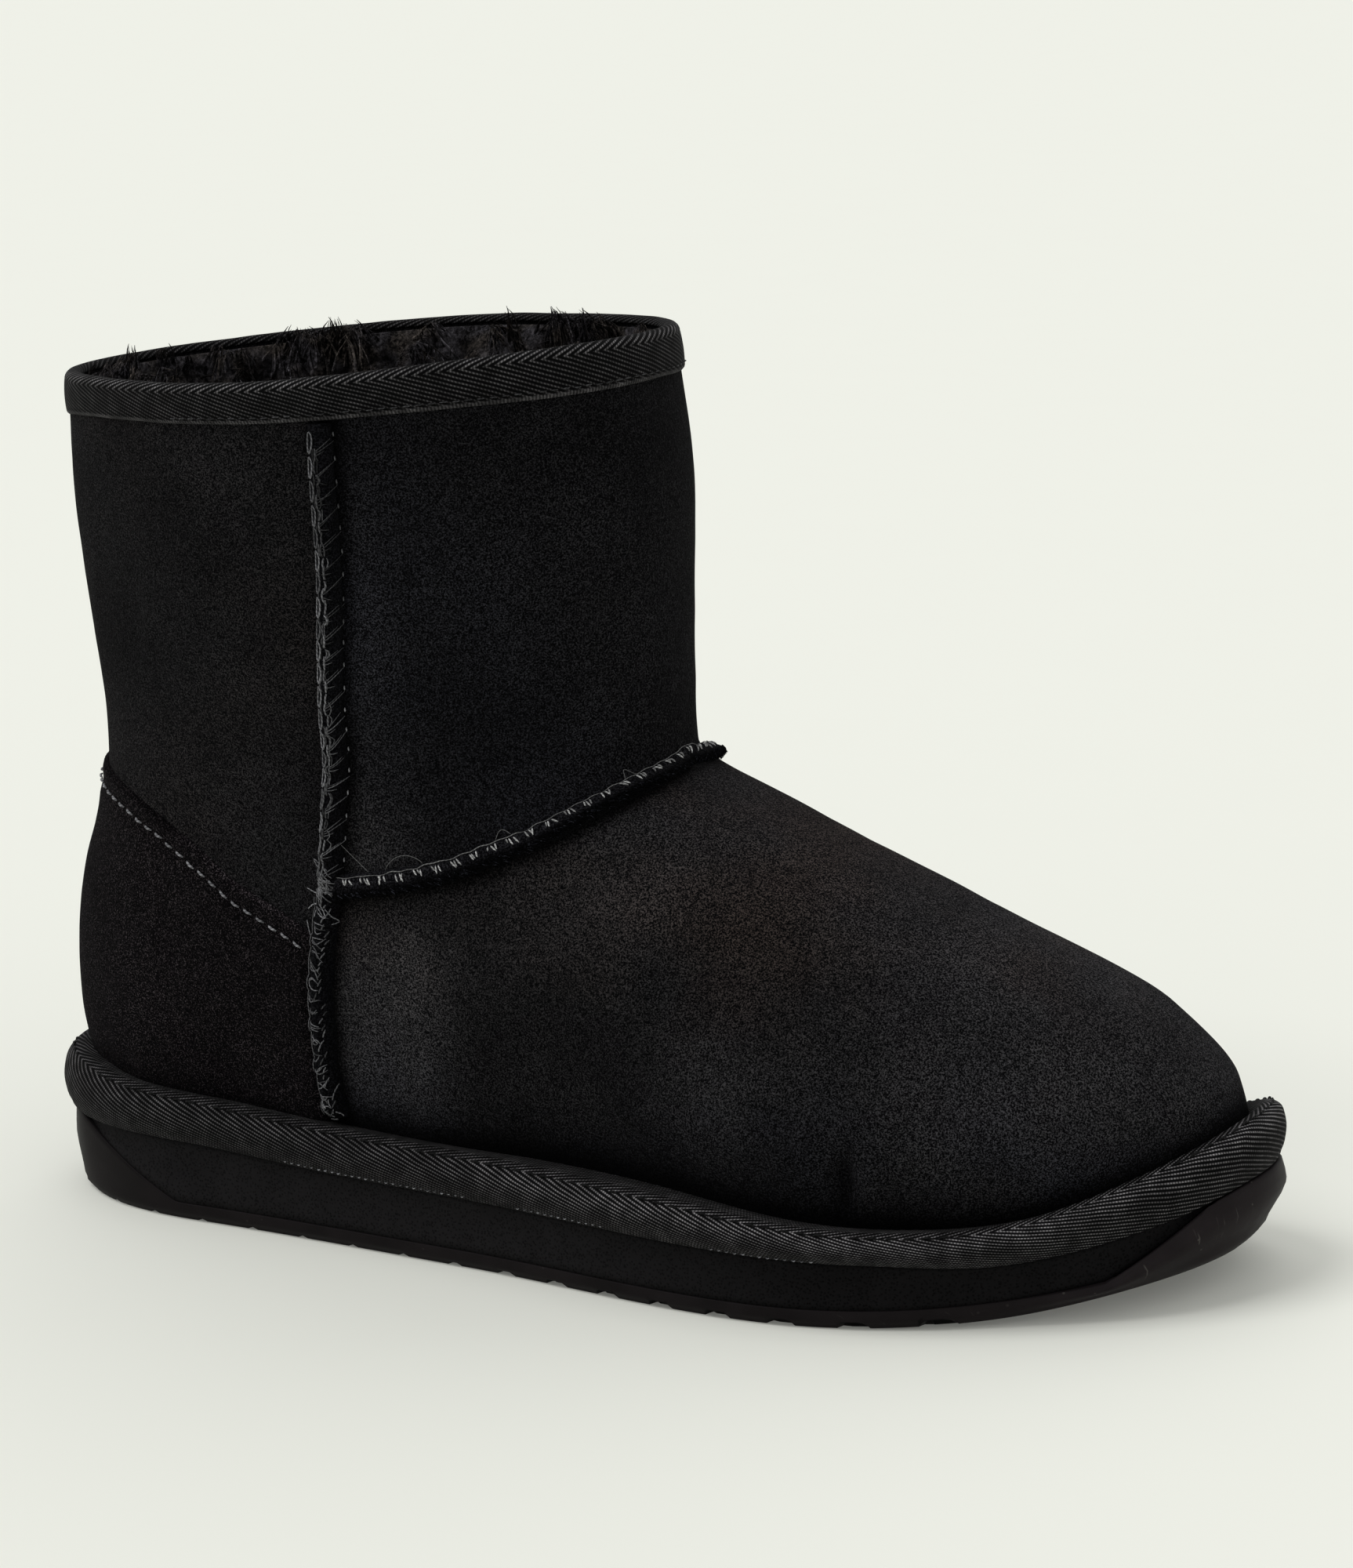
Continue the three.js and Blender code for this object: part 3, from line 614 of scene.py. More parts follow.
class Shader:
    """One material being put together round a Principled shader."""

    def __init__(self, name: str) -> None:
        """Starts a material of that name, with object coordinates in metres as its usual places."""
        self.material = bpy.data.materials.new(name)
        self.material.use_nodes = True
        self.tree = self.material.node_tree
        self.place = self.node("TexCoord", {}, "Object")

    def feed(self, socket: bpy.types.NodeSocket, value: Input) -> None:
        """Links a signal to a socket, or sets its number or colour."""
        if isinstance(value, Signal):
            self.tree.links.new(value.socket, socket)
        else:
            socket.default_value = (*value, 1.0) if isinstance(value, tuple) else value

    def node(self, kind: str, inputs: dict[int | str, Input], out: int | str = 0,
             **settings: str) -> Signal:
        """Adds a node.

        Args:
            kind: Its kind, without the words that all kinds start with.
            inputs: What is fed to its inputs, by number or name.
            out: Which of its outputs is wanted.
            settings: Its own settings.

        Returns:
            The output.
        """
        node = self.tree.nodes.new("ShaderNode" + kind)
        for name, value in settings.items():
            setattr(node, name, value)
        for key, value in inputs.items():
            self.feed(node.inputs[key], value)
        return Signal(self, node.outputs[out])

    def length_and_breadth(self) -> tuple[Signal, Signal]:
        """The piece's own texture coordinates, in mm."""
        parts = self.node("SeparateXYZ", {0: self.node("UVMap", {}, uv_map="mm")})
        return parts, Signal(self, parts.socket.node.outputs[1])

    def attribute(self, name: str) -> Signal:
        """A number that the mesh holds for each point."""
        return self.node("Attribute", {}, "Fac", attribute_name=name)

    def noise(self, size: float, detail: float = 2.0, roughness: float = 0.5,
              at: Optional[Signal] = None) -> Signal:
        """Noise round 0.5 with clouds of a size, finer layers, their strength, and where it is read."""
        return self.node("TexNoise", {"Vector": at or self.place, "Scale": 1 / size, "Detail": detail,
                                      "Roughness": roughness}, "Fac")

    def cells(self, size: float, feature: str = "F1") -> Signal:
        """Distance to the nearest of scattered points, as a share of the cells' size."""
        return self.node("TexVoronoi", {"Vector": self.place, "Scale": 1 / size}, "Distance",
                         feature=feature)

    def blend(self, share: Signal, low: Input, high: Input) -> Signal:
        """Mixes two colours: the first at share 0, the second at share 1."""
        return self.node("Mix", {"Factor": share, 6: low, 7: high}, 2, data_type="RGBA")

    def scale_colour(self, colour: Signal, factor: Signal) -> Signal:
        """Multiplies a colour by a number."""
        return self.node("VectorMath", {0: colour, "Scale": factor}, operation="SCALE")

    def bump(self, height: Signal, depth: float, strength: float, below: Optional[Signal] = None) -> Signal:
        """Tilts the normal, or the one below, by a height given as a share of a depth in metres."""
        inputs = {"Strength": strength, "Distance": depth, "Height": height}
        return self.node("Bump", inputs if below is None else {**inputs, "Normal": below})

    def finish(self, **values: Input) -> Material:
        """Feeds the surface shader's inputs, named in lower case with _ for a space.

        Args:
            values: Signals to link, or uniform values to set.

        Returns:
            The finished material.
        """
        for socket in self.tree.nodes["Principled BSDF"].inputs:
            name = socket.name.lower().replace(" ", "_")
            if name in values:
                self.feed(socket, values[name])
        return self.material


# Finishes

@dataclass(frozen=True)
class Suede:
    """Brushed suede: near-black nap with a fine speckle, slow clouds and a soft sheen."""

    name: str
    dark: Colour = (0.0008, 0.0008, 0.0010)
    light: Colour = (0.0310, 0.0298, 0.0315)
    cool: Colour = (0.0262, 0.0272, 0.0345)
    warm: Colour = (0.0370, 0.0285, 0.0255)
    speckle: float = 0.00034
    bite: float = 0.44

    def material(self) -> Material:
        """Builds the material; the mesh's `shade` brightens it, `warmth` tints it, `pebble` grains it."""
        shader = Shader(self.name)
        fibres = shader.noise(self.speckle, 3.0, 0.75)
        tufts = shader.noise(self.speckle * 4.0, 2.0, 0.6)
        clouds = shader.noise(0.022)
        patchy = tufts.ease(0.35, 0.65, 0.5, 0.8) + clouds.ease(0.3, 0.7, 0.0, 0.3)
        pits = shader.cells(0.0006, "SMOOTH_F1").ease(0.25, 0.75) * shader.attribute("pebble")
        nap = fibres.ease(self.bite, self.bite + 0.19) * patchy * (pits * -0.4 + 1.0)
        warmth = shader.attribute("warmth")
        tint = shader.blend(warmth.ease(-1.0, 0.0), self.cool, self.light)
        tint = shader.blend(warmth.ease(0.0, 1.0), tint, self.warm)
        colour = shader.scale_colour(shader.blend(nap, self.dark, tint), shader.attribute("shade"))
        normal = shader.bump(fibres - pits * 0.6, 0.0005, 0.9, shader.bump(tufts, 0.0006, 0.6))
        return shader.finish(base_color=colour, normal=normal, roughness=0.95, specular_ior_level=0.02,
                             sheen_weight=0.010, sheen_roughness=0.45, sheen_tint=(0.75, 0.75, 0.8))


@dataclass(frozen=True)
class Thread:
    """Waxed sewing thread, twisted from two plies."""

    name: str
    colour: Colour = (0.10, 0.10, 0.105)
    dark: Colour = (0.03, 0.03, 0.033)
    twist: float = 0.9

    def material(self) -> Material:
        """Builds the material: bands wound round the strand by its own texture coordinates."""
        shader = Shader(self.name)
        along, around = shader.length_and_breadth()
        plies = (along * (2 * np.pi / self.twist) + around * (2 * np.pi)).math("SINE")
        wear = shader.noise(0.0012)
        colour = shader.blend(plies.ease(-1, 1) * 0.7 + wear * 0.3, self.dark, self.colour)
        return shader.finish(base_color=shader.scale_colour(colour, shader.attribute("tone")),
                             normal=shader.bump(plies, 0.00008, 0.7), roughness=0.6,
                             specular_ior_level=0.12, sheen_weight=0.02)


@dataclass(frozen=True)
class Wool:
    """Clipped sheep's wool, tangled, from brown-black to purple-grey."""

    name: str
    dark: Colour = (0.0008, 0.0007, 0.0007)
    brown: Colour = (0.0480, 0.0410, 0.0365)
    grey: Colour = (0.0460, 0.0430, 0.0480)
    tangle: float = 0.0009

    def material(self) -> Material:
        """Builds the material: fine tangled fibres over tufts, darker between the tufts."""
        shader = Shader(self.name)
        fibres = shader.noise(self.tangle, 4.0, 0.75)
        tufts = shader.noise(self.tangle * 4.5)
        tint = shader.blend(shader.noise(0.008, 1.0).ease(0.4, 0.6), self.brown, self.grey)
        share = fibres.ease(0.42, 0.68) * 0.75 + tufts.ease(0.40, 0.65) * 0.25
        colour = shader.scale_colour(shader.blend(share, self.dark, tint), shader.attribute("shade"))
        normal = shader.bump(fibres, 0.0007, 0.9, shader.bump(tufts, 0.0015, 0.6))
        return shader.finish(base_color=colour, normal=normal, roughness=1.0, specular_ior_level=0.03,
                             sheen_weight=0.015, sheen_roughness=0.5)


@dataclass(frozen=True)
class HerringboneTape:
    """Woven tape whose slanting ribs of short knots turn round at a spine along its middle."""

    name: str
    dark: Colour = (0.0006, 0.0006, 0.0007)
    light: Colour = (0.0760, 0.0730, 0.0750)
    rib: float = 1.05
    knot: float = 0.66
    slope: float = 0.46
    spine: float = 8.6

    @property
    def repeat(self) -> float:
        """Length along the tape after which the ribs fall on themselves."""
        return self.rib / self.slope

    def material(self) -> Material:
        """Builds the material: knots on ribs, and plain cross ribs where the mesh's `hem` is 1."""
        shader = Shader(self.name)
        along, across = shader.length_and_breadth()
        side = across - self.spine
        drift = shader.noise(9.0, 1.0, 0.5, shader.node("CombineXYZ", {0: along, 1: across})) * 0.5
        row = (along * self.slope - side.math("MAXIMUM", side * -1.0) + drift) * (1 / self.rib)
        rib = (row * (2 * np.pi)).math("SINE")
        beads = ((along * (1 / self.knot) + row.math("FLOOR") * 0.5) * (2 * np.pi)).math("SINE")
        weave = rib.ease(-0.3, 0.8) * (beads.ease(-0.9, 0.7) * 0.6 + 0.4)
        hem = shader.attribute("hem")
        plain = (along * (2 * np.pi / 0.7)).math("SINE").ease(-1.0, 1.0, 0.35, 0.85)
        height = weave * (hem * -1.0 + 1.0) + plain * hem
        fuzz = shader.noise(0.0004, 2.0, 0.6)
        wear = shader.noise(0.0035, 2.0, 0.6).ease(0.35, 0.7, 0.6, 1.35)
        share = height.math("POWER", 1.7) * 0.85 + fuzz.ease(0.42, 0.62) * height * 0.35
        colour = shader.blend(share, self.dark, self.light)
        return shader.finish(base_color=shader.scale_colour(colour, shader.attribute("shade") * wear),
                             normal=shader.bump(fuzz, 0.0001, 0.4, shader.bump(height, 0.0003, 0.9)),
                             roughness=0.85, specular_ior_level=0.05, sheen_weight=0.01)


@dataclass(frozen=True)
class Rubber:
    """Moulded rubber with a satin skin, faint scuffs and dust."""

    name: str
    dark: Colour = (0.0056, 0.0045, 0.0049)
    light: Colour = (0.0114, 0.0093, 0.0100)
    scratch: Colour = (0.075, 0.070, 0.065)

    def material(self) -> Material:
        """Builds the material: slow clouds and fine grain; a number held on the mesh lightens or darkens it,
        with painted light and shade, and shows scratches.
        """
        shader = Shader(self.name)
        clouds = shader.noise(0.012, 3.0, 0.55)
        grain = shader.noise(0.0003)
        scuff = shader.attribute("scuff")
        along, across = shader.length_and_breadth()
        streaks = shader.node("CombineXYZ", {0: along * 3.0 + across, 1: across * 0.25})
        lines = shader.noise(2.2, 2.0, 0.6, streaks)
        colour = shader.blend(clouds.ease(0.3, 0.7) * 0.7 + grain * 0.3, self.dark, self.light)
        # Painted light and shade: the mesh's number makes the rubber up to 1.6 times lighter, or almost black
        # in the notches.
        colour = shader.scale_colour(colour, scuff * 0.8 + 0.8)
        dust = shader.cells(0.0042).ease(0.05, 0.075, 1.0, 0.0)
        marks = lines.ease(0.66, 0.72) * clouds.ease(0.48, 0.56) + dust
        return shader.finish(base_color=shader.blend(marks * scuff * 0.6, colour, self.scratch),
                             normal=shader.bump(grain, 0.00005, 0.5, shader.bump(clouds, 0.0004, 0.15)),
                             roughness=clouds.ease(0.3, 0.7, 0.48, 0.62), specular_ior_level=0.05)


@dataclass(frozen=True)
class Foam:
    """Closed-cell foam, matt and finely speckled."""

    name: str
    dark: Colour = (0.0022, 0.0021, 0.0023)
    light: Colour = (0.0122, 0.0115, 0.0123)

    def material(self) -> Material:
        """Builds the material: small pores over slow clouds."""
        shader = Shader(self.name)
        pores = shader.cells(0.0006)
        clouds = shader.noise(0.007, 3.0, 0.6)
        specks = shader.cells(0.0026).ease(0.05, 0.11, 1.6, 0.0)
        share = pores.ease(0.1, 0.55) * 0.75 + clouds.ease(0.3, 0.7) * 0.2 + specks
        colour = shader.blend(share, self.dark, self.light)
        return shader.finish(base_color=shader.scale_colour(colour, shader.attribute("shade")),
                             normal=shader.bump(pores, 0.00012, 0.6), roughness=0.9,
                             specular_ior_level=0.05)


# The dents and creases of the worn-in skin

@dataclass(frozen=True)
class Crease:
    """A soft trough or ridge along a path on one side of the upper."""

    side: Side
    path: Places
    breadth: float
    depth: float

    def height_at(self, points: Array) -> Array:
        """Height of the crease at points of the upper.

        It is the depth times a bell curve of the distance to the path, which is short at its ends.

        Args:
            points: Places on the upper's plain face.

        Returns:
            Millimetres along the normal.
        """
        knots = np.array(self.path)
        level, turn = LAST.place(knots[:, 0], knots[:, 1])
        turn = turn if self.side is Side.OUTER else 1 - turn
        line = LAST.point(level, turn)
        nearest = np.full(points.shape[:-1], 1e9)
        run = np.zeros(points.shape[:-1])
        stretches = np.linalg.norm(np.diff(line, axis=0), axis=1)
        before = 0.0
        for start, end, length in zip(line[:-1], line[1:], stretches):
            share = np.clip(((points - start) @ (end - start)) / length ** 2, 0, 1)
            gap = np.linalg.norm(points - start - share[..., None] * (end - start), axis=-1)
            closer = gap < nearest
            nearest = np.where(closer, gap, nearest)
            run = np.where(closer, (before + share * length) / stretches.sum(), run)
            before += length
        strength = 0.35 + 0.65 * (smooth(run / 0.25) * smooth((1 - run) / 0.25))
        return self.depth * strength * np.exp(-(nearest / self.breadth) ** 2)


@dataclass(frozen=True)
class Skin:
    """The upper's outer face with its dents: the last's face moved along its normal."""

    creases: tuple[Crease, ...] = (
        Crease(Side.OUTER, ((112, 70), (128, 74), (142, 82)), 9.0, -1.1),
        Crease(Side.OUTER, ((104, 60), (120, 60), (138, 68), (152, 78)), 8.0, 0.8),
        Crease(Side.OUTER, ((150, 60), (170, 62), (190, 62)), 14.0, -0.9),
        Crease(Side.OUTER, ((100, 36), (128, 40), (150, 38)), 12.0, -0.8),
        Crease(Side.OUTER, ((195, 20), (196, 27), (196.5, 33)), 1.9, -2.6),
        Crease(Side.OUTER, ((200, 22), (202, 32)), 2.6, 1.4),
        Crease(Side.OUTER, ((24, 132), (44, 126)), 12.0, -1.0),
        Crease(Side.OUTER, ((102, 108), (122, 120)), 16.0, -0.8),
        Crease(Side.OUTER, ((118, 146), (136, 150)), 14.0, 0.7),
        Crease(Side.INNER, ((112, 70), (130, 75), (142, 84)), 9.0, -1.1),
        Crease(Side.INNER, ((100, 58), (124, 60), (148, 74)), 9.0, 0.8),
        Crease(Side.INNER, ((108, 34), (140, 38)), 13.0, -0.8),
        Crease(Side.INNER, ((28, 130), (50, 122)), 13.0, -1.0),
        Crease(Side.INNER, ((104, 112), (126, 124)), 16.0, -0.8),
    )
    waves: float = 0.55
    ripple: float = 0.10
    pucker: float = 0.6
    calm_level: float = 0.16

    def relief(self, level: Array, turn: Array) -> Array:
        """Height of the dents, slow waves and fine ripples, calmed near the feather edge and collar.

        Args:
            level: Levels.
            turn: Turns.

        Returns:
            Millimetres along the normal.
        """
        points = LAST.point(level, turn)
        calm = smooth((level - 0.03) / self.calm_level) * smooth((1 - level) / 0.08)
        dents = sum(crease.height_at(points) for crease in self.creases)
        waves = self.waves * layered_noise(points, 34.0, 5, 2)
        ripple = self.ripple * layered_noise(points, 7.0, 9, 2)
        low = np.exp(-((level - 0.13) / 0.06) ** 2)
        puckers = self.pucker * low * lattice_noise(points * np.array([1, 1, 0.3]), 5.0, 11)
        return calm * (dents + waves + ripple + puckers)

    def point(self, level: Array, turn: Array, out: Array = 0.0) -> Array:
        """A point that stands `out` beyond the dented face."""
        level, turn = np.broadcast_arrays(np.asarray(level, float), np.asarray(turn, float))
        return LAST.beyond(level, turn, self.relief(level, turn) + out)


SKIN = Skin()


# Where the seams run

@dataclass(frozen=True)
class SeamLines:
    """The places of the seams on the upper, as x and z on the outer side."""

    side: Places = (
        (78.9, 22), (78.0, 38), (78.8, 53), (82.7, 75), (85.3, 97), (88.8, 123), (91.0, 148), (91.0, 170))
    side_foot: float = 10.6
    side_top_level: float = 0.974
    vamp: Places = ((84.5, 75.8), (97, 77.8), (108, 80.4), (122, 85.6), (135, 91.8), (143, 96.2))
    vamp_front_x: float = 145.2
    counter_top: Places = (
        (-10, 97), (8, 96.3), (20, 91.5), (34, 83), (49, 73), (60, 68.3), (68, 64.8), (80, 58.5))

    def side_x(self, z: Array) -> Array:
        """The side seam's x at a height."""
        return curve_through([p[1] for p in self.side], [p[0] for p in self.side])(z)

    def side_path(self, side: Side, count: int) -> tuple[Array, Array]:
        """Walks the side seam from the rand to the collar, evenly in height.

        Args:
            side: Which side of the boot.
            count: How many places.

        Returns:
            The levels and the turns.
        """
        foot = LAST.seat(self.side[0][0]) + self.side_foot
        _, turn = LAST.place(self.side[-1][0], self.side[-1][1])
        top = LAST.point(self.side_top_level, turn)[2]
        z = np.linspace(foot, top, count)
        level, turn = LAST.place(self.side_x(z), z)
        return level, turn if side is Side.OUTER else 1 - turn

    def vamp_level(self, turn: Array) -> Array:
        """The vamp seam's level at a turn, the same on both sides.

        Args:
            turn: Turns; beyond the seam's ends its end level holds.

        Returns:
            The levels.
        """
        x, z = np.array(self.vamp).T
        levels, turns = LAST.place(x, z)
        table = np.linspace(0.3, 0.8, 2001)
        fronts = LAST.ring("front", table) * LAST.length
        front_level = table[np.argmax(fronts <= self.vamp_front_x)]
        curve = curve_through(np.append(turns, 0.5), np.append(levels, front_level))
        turn = np.mod(turn, 1.0)
        return curve(np.minimum(turn, 1 - turn))

    def vamp_path(self, count: int) -> tuple[Array, Array]:
        """Walks the vamp seam from the outer side seam over the instep to the inner one."""
        _, start = LAST.place(*self.vamp[0])
        turn = np.linspace(float(start), 1 - float(start), count)
        return self.vamp_level(turn), turn

    def counter_z(self, x: Array) -> Array:
        """Height of the counter's top edge at x."""
        return curve_through([p[0] for p in self.counter_top], [p[1] for p in self.counter_top])(x)


SEAMS = SeamLines()


@dataclass
class Run:
    """A path on the upper with a frame at each place, from which stitches and ridges are laid."""

    points: Array
    along: Array
    across: Array
    normal: Array
    distance: Array = field(init=False)

    def __post_init__(self) -> None:
        """Measures how far along the path each place is."""
        self.distance = lengths(self.points)

    @classmethod
    def on_skin(cls, level: Array, turn: Array, flip: bool = False) -> "Run":
        """Lays a path on the dented face.

        Args:
            level: Levels of its places.
            turn: Turns of its places.
            flip: Turns the crosswise direction round.

        Returns:
            The path with its frames.
        """
        points = SKIN.point(level, turn)
        normal = LAST.normal(level, turn)
        along = unit(np.gradient(points, axis=0))
        across = unit(np.cross(normal, along)) * (-1 if flip else 1)
        return cls(points, along, across, normal)

    @property
    def length(self) -> float:
        """Length of the whole path."""
        return float(self.distance[-1])

    def at(self, distance: Array, aside: Array = 0.0, up: Array = 0.0) -> Array:
        """A point beside and above the path.

        Args:
            distance: How far along.
            aside: How far across.
            up: How far along the normal.

        Returns:
            Places, x, y, z last.
        """
        distance, aside, up = np.broadcast_arrays(distance, aside, up)
        point, across, normal = (read_along(distance, self.distance, values)
                                 for values in (self.points, self.across, self.normal))
        return point + across * aside[..., None] + normal * up[..., None]

    def normal_at(self, distance: Array) -> Array:
        """The normal at a distance along the path."""
        return unit(read_along(distance, self.distance, self.normal))


class Dice:
    """Seeded random numbers."""

    def __init__(self, seed: int) -> None:
        """Starts the row of numbers that a seed gives."""
        self.source = np.random.default_rng(seed)

    def spread(self, low: float, high: float, *shape: int) -> Array:
        """Even random numbers between two ends."""
        return self.source.uniform(low, high, shape)

    def bell(self, deviation: float, *shape: int) -> Array:
        """Random numbers round 0 with a deviation."""
        return self.source.normal(0.0, deviation, shape)


# Pieces

@dataclass
class Upper:
    """The suede shell of the upper: shaft, quarters and vamp, from the feather edge to the collar."""

    columns: int = 448
    rows: int = 176
    inside_rows: int = 44
    thickness: float = 2.0
    rand_top: float = 8.9
    finish: Suede = Suede("suede_upper")

    def tones(self, level: Array, turn: Array) -> dict[str, Array]:
        """Shade, warmth and pebbling of the panels at places of the upper; the shade holds painted light and
        shade as well as the suede's uneven tone.

        Args:
            level: Levels.
            turn: Turns.

        Returns:
            The attributes by name.
        """
        points = LAST.point(level, turn)
        x, z = points[..., 0], points[..., 2]
        seam = LAST.point(*SEAMS.vamp_path(120))
        gap = np.min([np.linalg.norm(points - place, axis=-1) for place in seam], axis=0)
        above = gap * np.sign(level - SEAMS.vamp_level(turn))
        ahead = x - SEAMS.side_x(z)
        front, over = smooth(ahead / 1.5 + 0.5), smooth(above / 1.5 + 0.5)
        vamp, shaft_front, shaft_back = front * (1 - over), front * over, 1 - front
        cloud = layered_noise(points, 42.0, 31, 3)
        patches = layered_noise(points, 13.0, 33, 2)
        # Painted light and shade: lighter where the light falls on the lower back shaft, on the lower front
        # shaft and its part next to the side seam, and on the vamp's top, toe, low part next to the side seam
        # and a band across its middle; the vamp is darker towards the rand as painted shade. The clouds and
        # patches are the suede's own uneven tone.
        lower = smooth((165 - z) / 25)
        shade = (shaft_back * (1.08 + 0.2 * smooth((115 - z) / 20) + 0.34 * cloud + 0.24 * patches)
                 + shaft_front * (0.85 + 0.3 * lower + 1.3 * lower * smooth((108 - x) / 20) + 0.22 * cloud
                                + 0.08 * patches)
                 + vamp * mix(0.3, 1.0, smooth((z - 11) / 34))
                 * (1.2 + 0.85 * smooth((z - 50) / 40) + 1.2 * smooth((x - 180) / 45)
                           + 1.5 * smooth((116 - x) / 18) * smooth((74 - z) / 12)
                           + 0.5 * np.exp(-((x - 172) / 20) ** 2) + 0.34 * cloud + 0.3 * patches))
        # Painted shade: darker in the creases' troughs and lighter on their ridges.
        folds = sum(crease.height_at(points) for crease in SKIN.creases)
        shade = shade * (1 + 0.22 * np.clip(folds, -2.6, 1.4))
        # Painted shadows: dark bands below the vamp seam, in front of the side seams, above the rand and
        # above the counter's edge.
        rise = z - LAST.seat(x) - LAST.gap - self.rand_top * LAST.rand_scale(x)
        for gap, reach, depth in ((-above - 2.0, 2.6, 0.92 * vamp), (ahead - 2.2, 2.6, 0.88 * front),
                                  (rise, 4.2, 0.88), (z - SEAMS.counter_z(x) - 0.2, 0.9, 0.85 * shaft_back)):
            shade = shade * (1 - depth * np.exp(-(np.maximum(gap, 0) / reach) ** 2))
        warmth = (shaft_back * (0.15 + 0.4 * cloud) - shaft_front * (0.4 + 0.5 * cloud)
                  + vamp * (mix(-0.4, 0.25, smooth((z - 25) / 45)) + 0.35 * patches
                            + 0.6 * np.exp(-((x - 174) / 16) ** 2 - ((z - 74) / 16) ** 2)))
        return {"shade": shade, "warmth": np.clip(warmth, -1, 1),
                "pebble": 0.8 * shaft_front + 0.25 * shaft_back}

    def build(self) -> Objects:
        """Makes the shell: up the dented outer face, over the rim and down the flesh side."""
        level = np.linspace(0, 1, self.rows)[:, None]
        turn = np.arange(self.columns) / self.columns
        outside = SKIN.point(level, turn)
        inner_level = np.linspace(1, 0, self.inside_rows)[:, None]
        points = np.concatenate([outside, LAST.beyond(inner_level, turn, -self.thickness)])
        levels = np.concatenate([level, inner_level])
        sheet = Sheetwork()
        sheet.add_hoop(points, np.arange(self.columns + 1), np.arange(len(levels) + 1),
                       **self.tones(*np.broadcast_arrays(levels, turn)))
        return [sheet.build("upper", self.finish.material(), "upper_suede", ("upper",))]


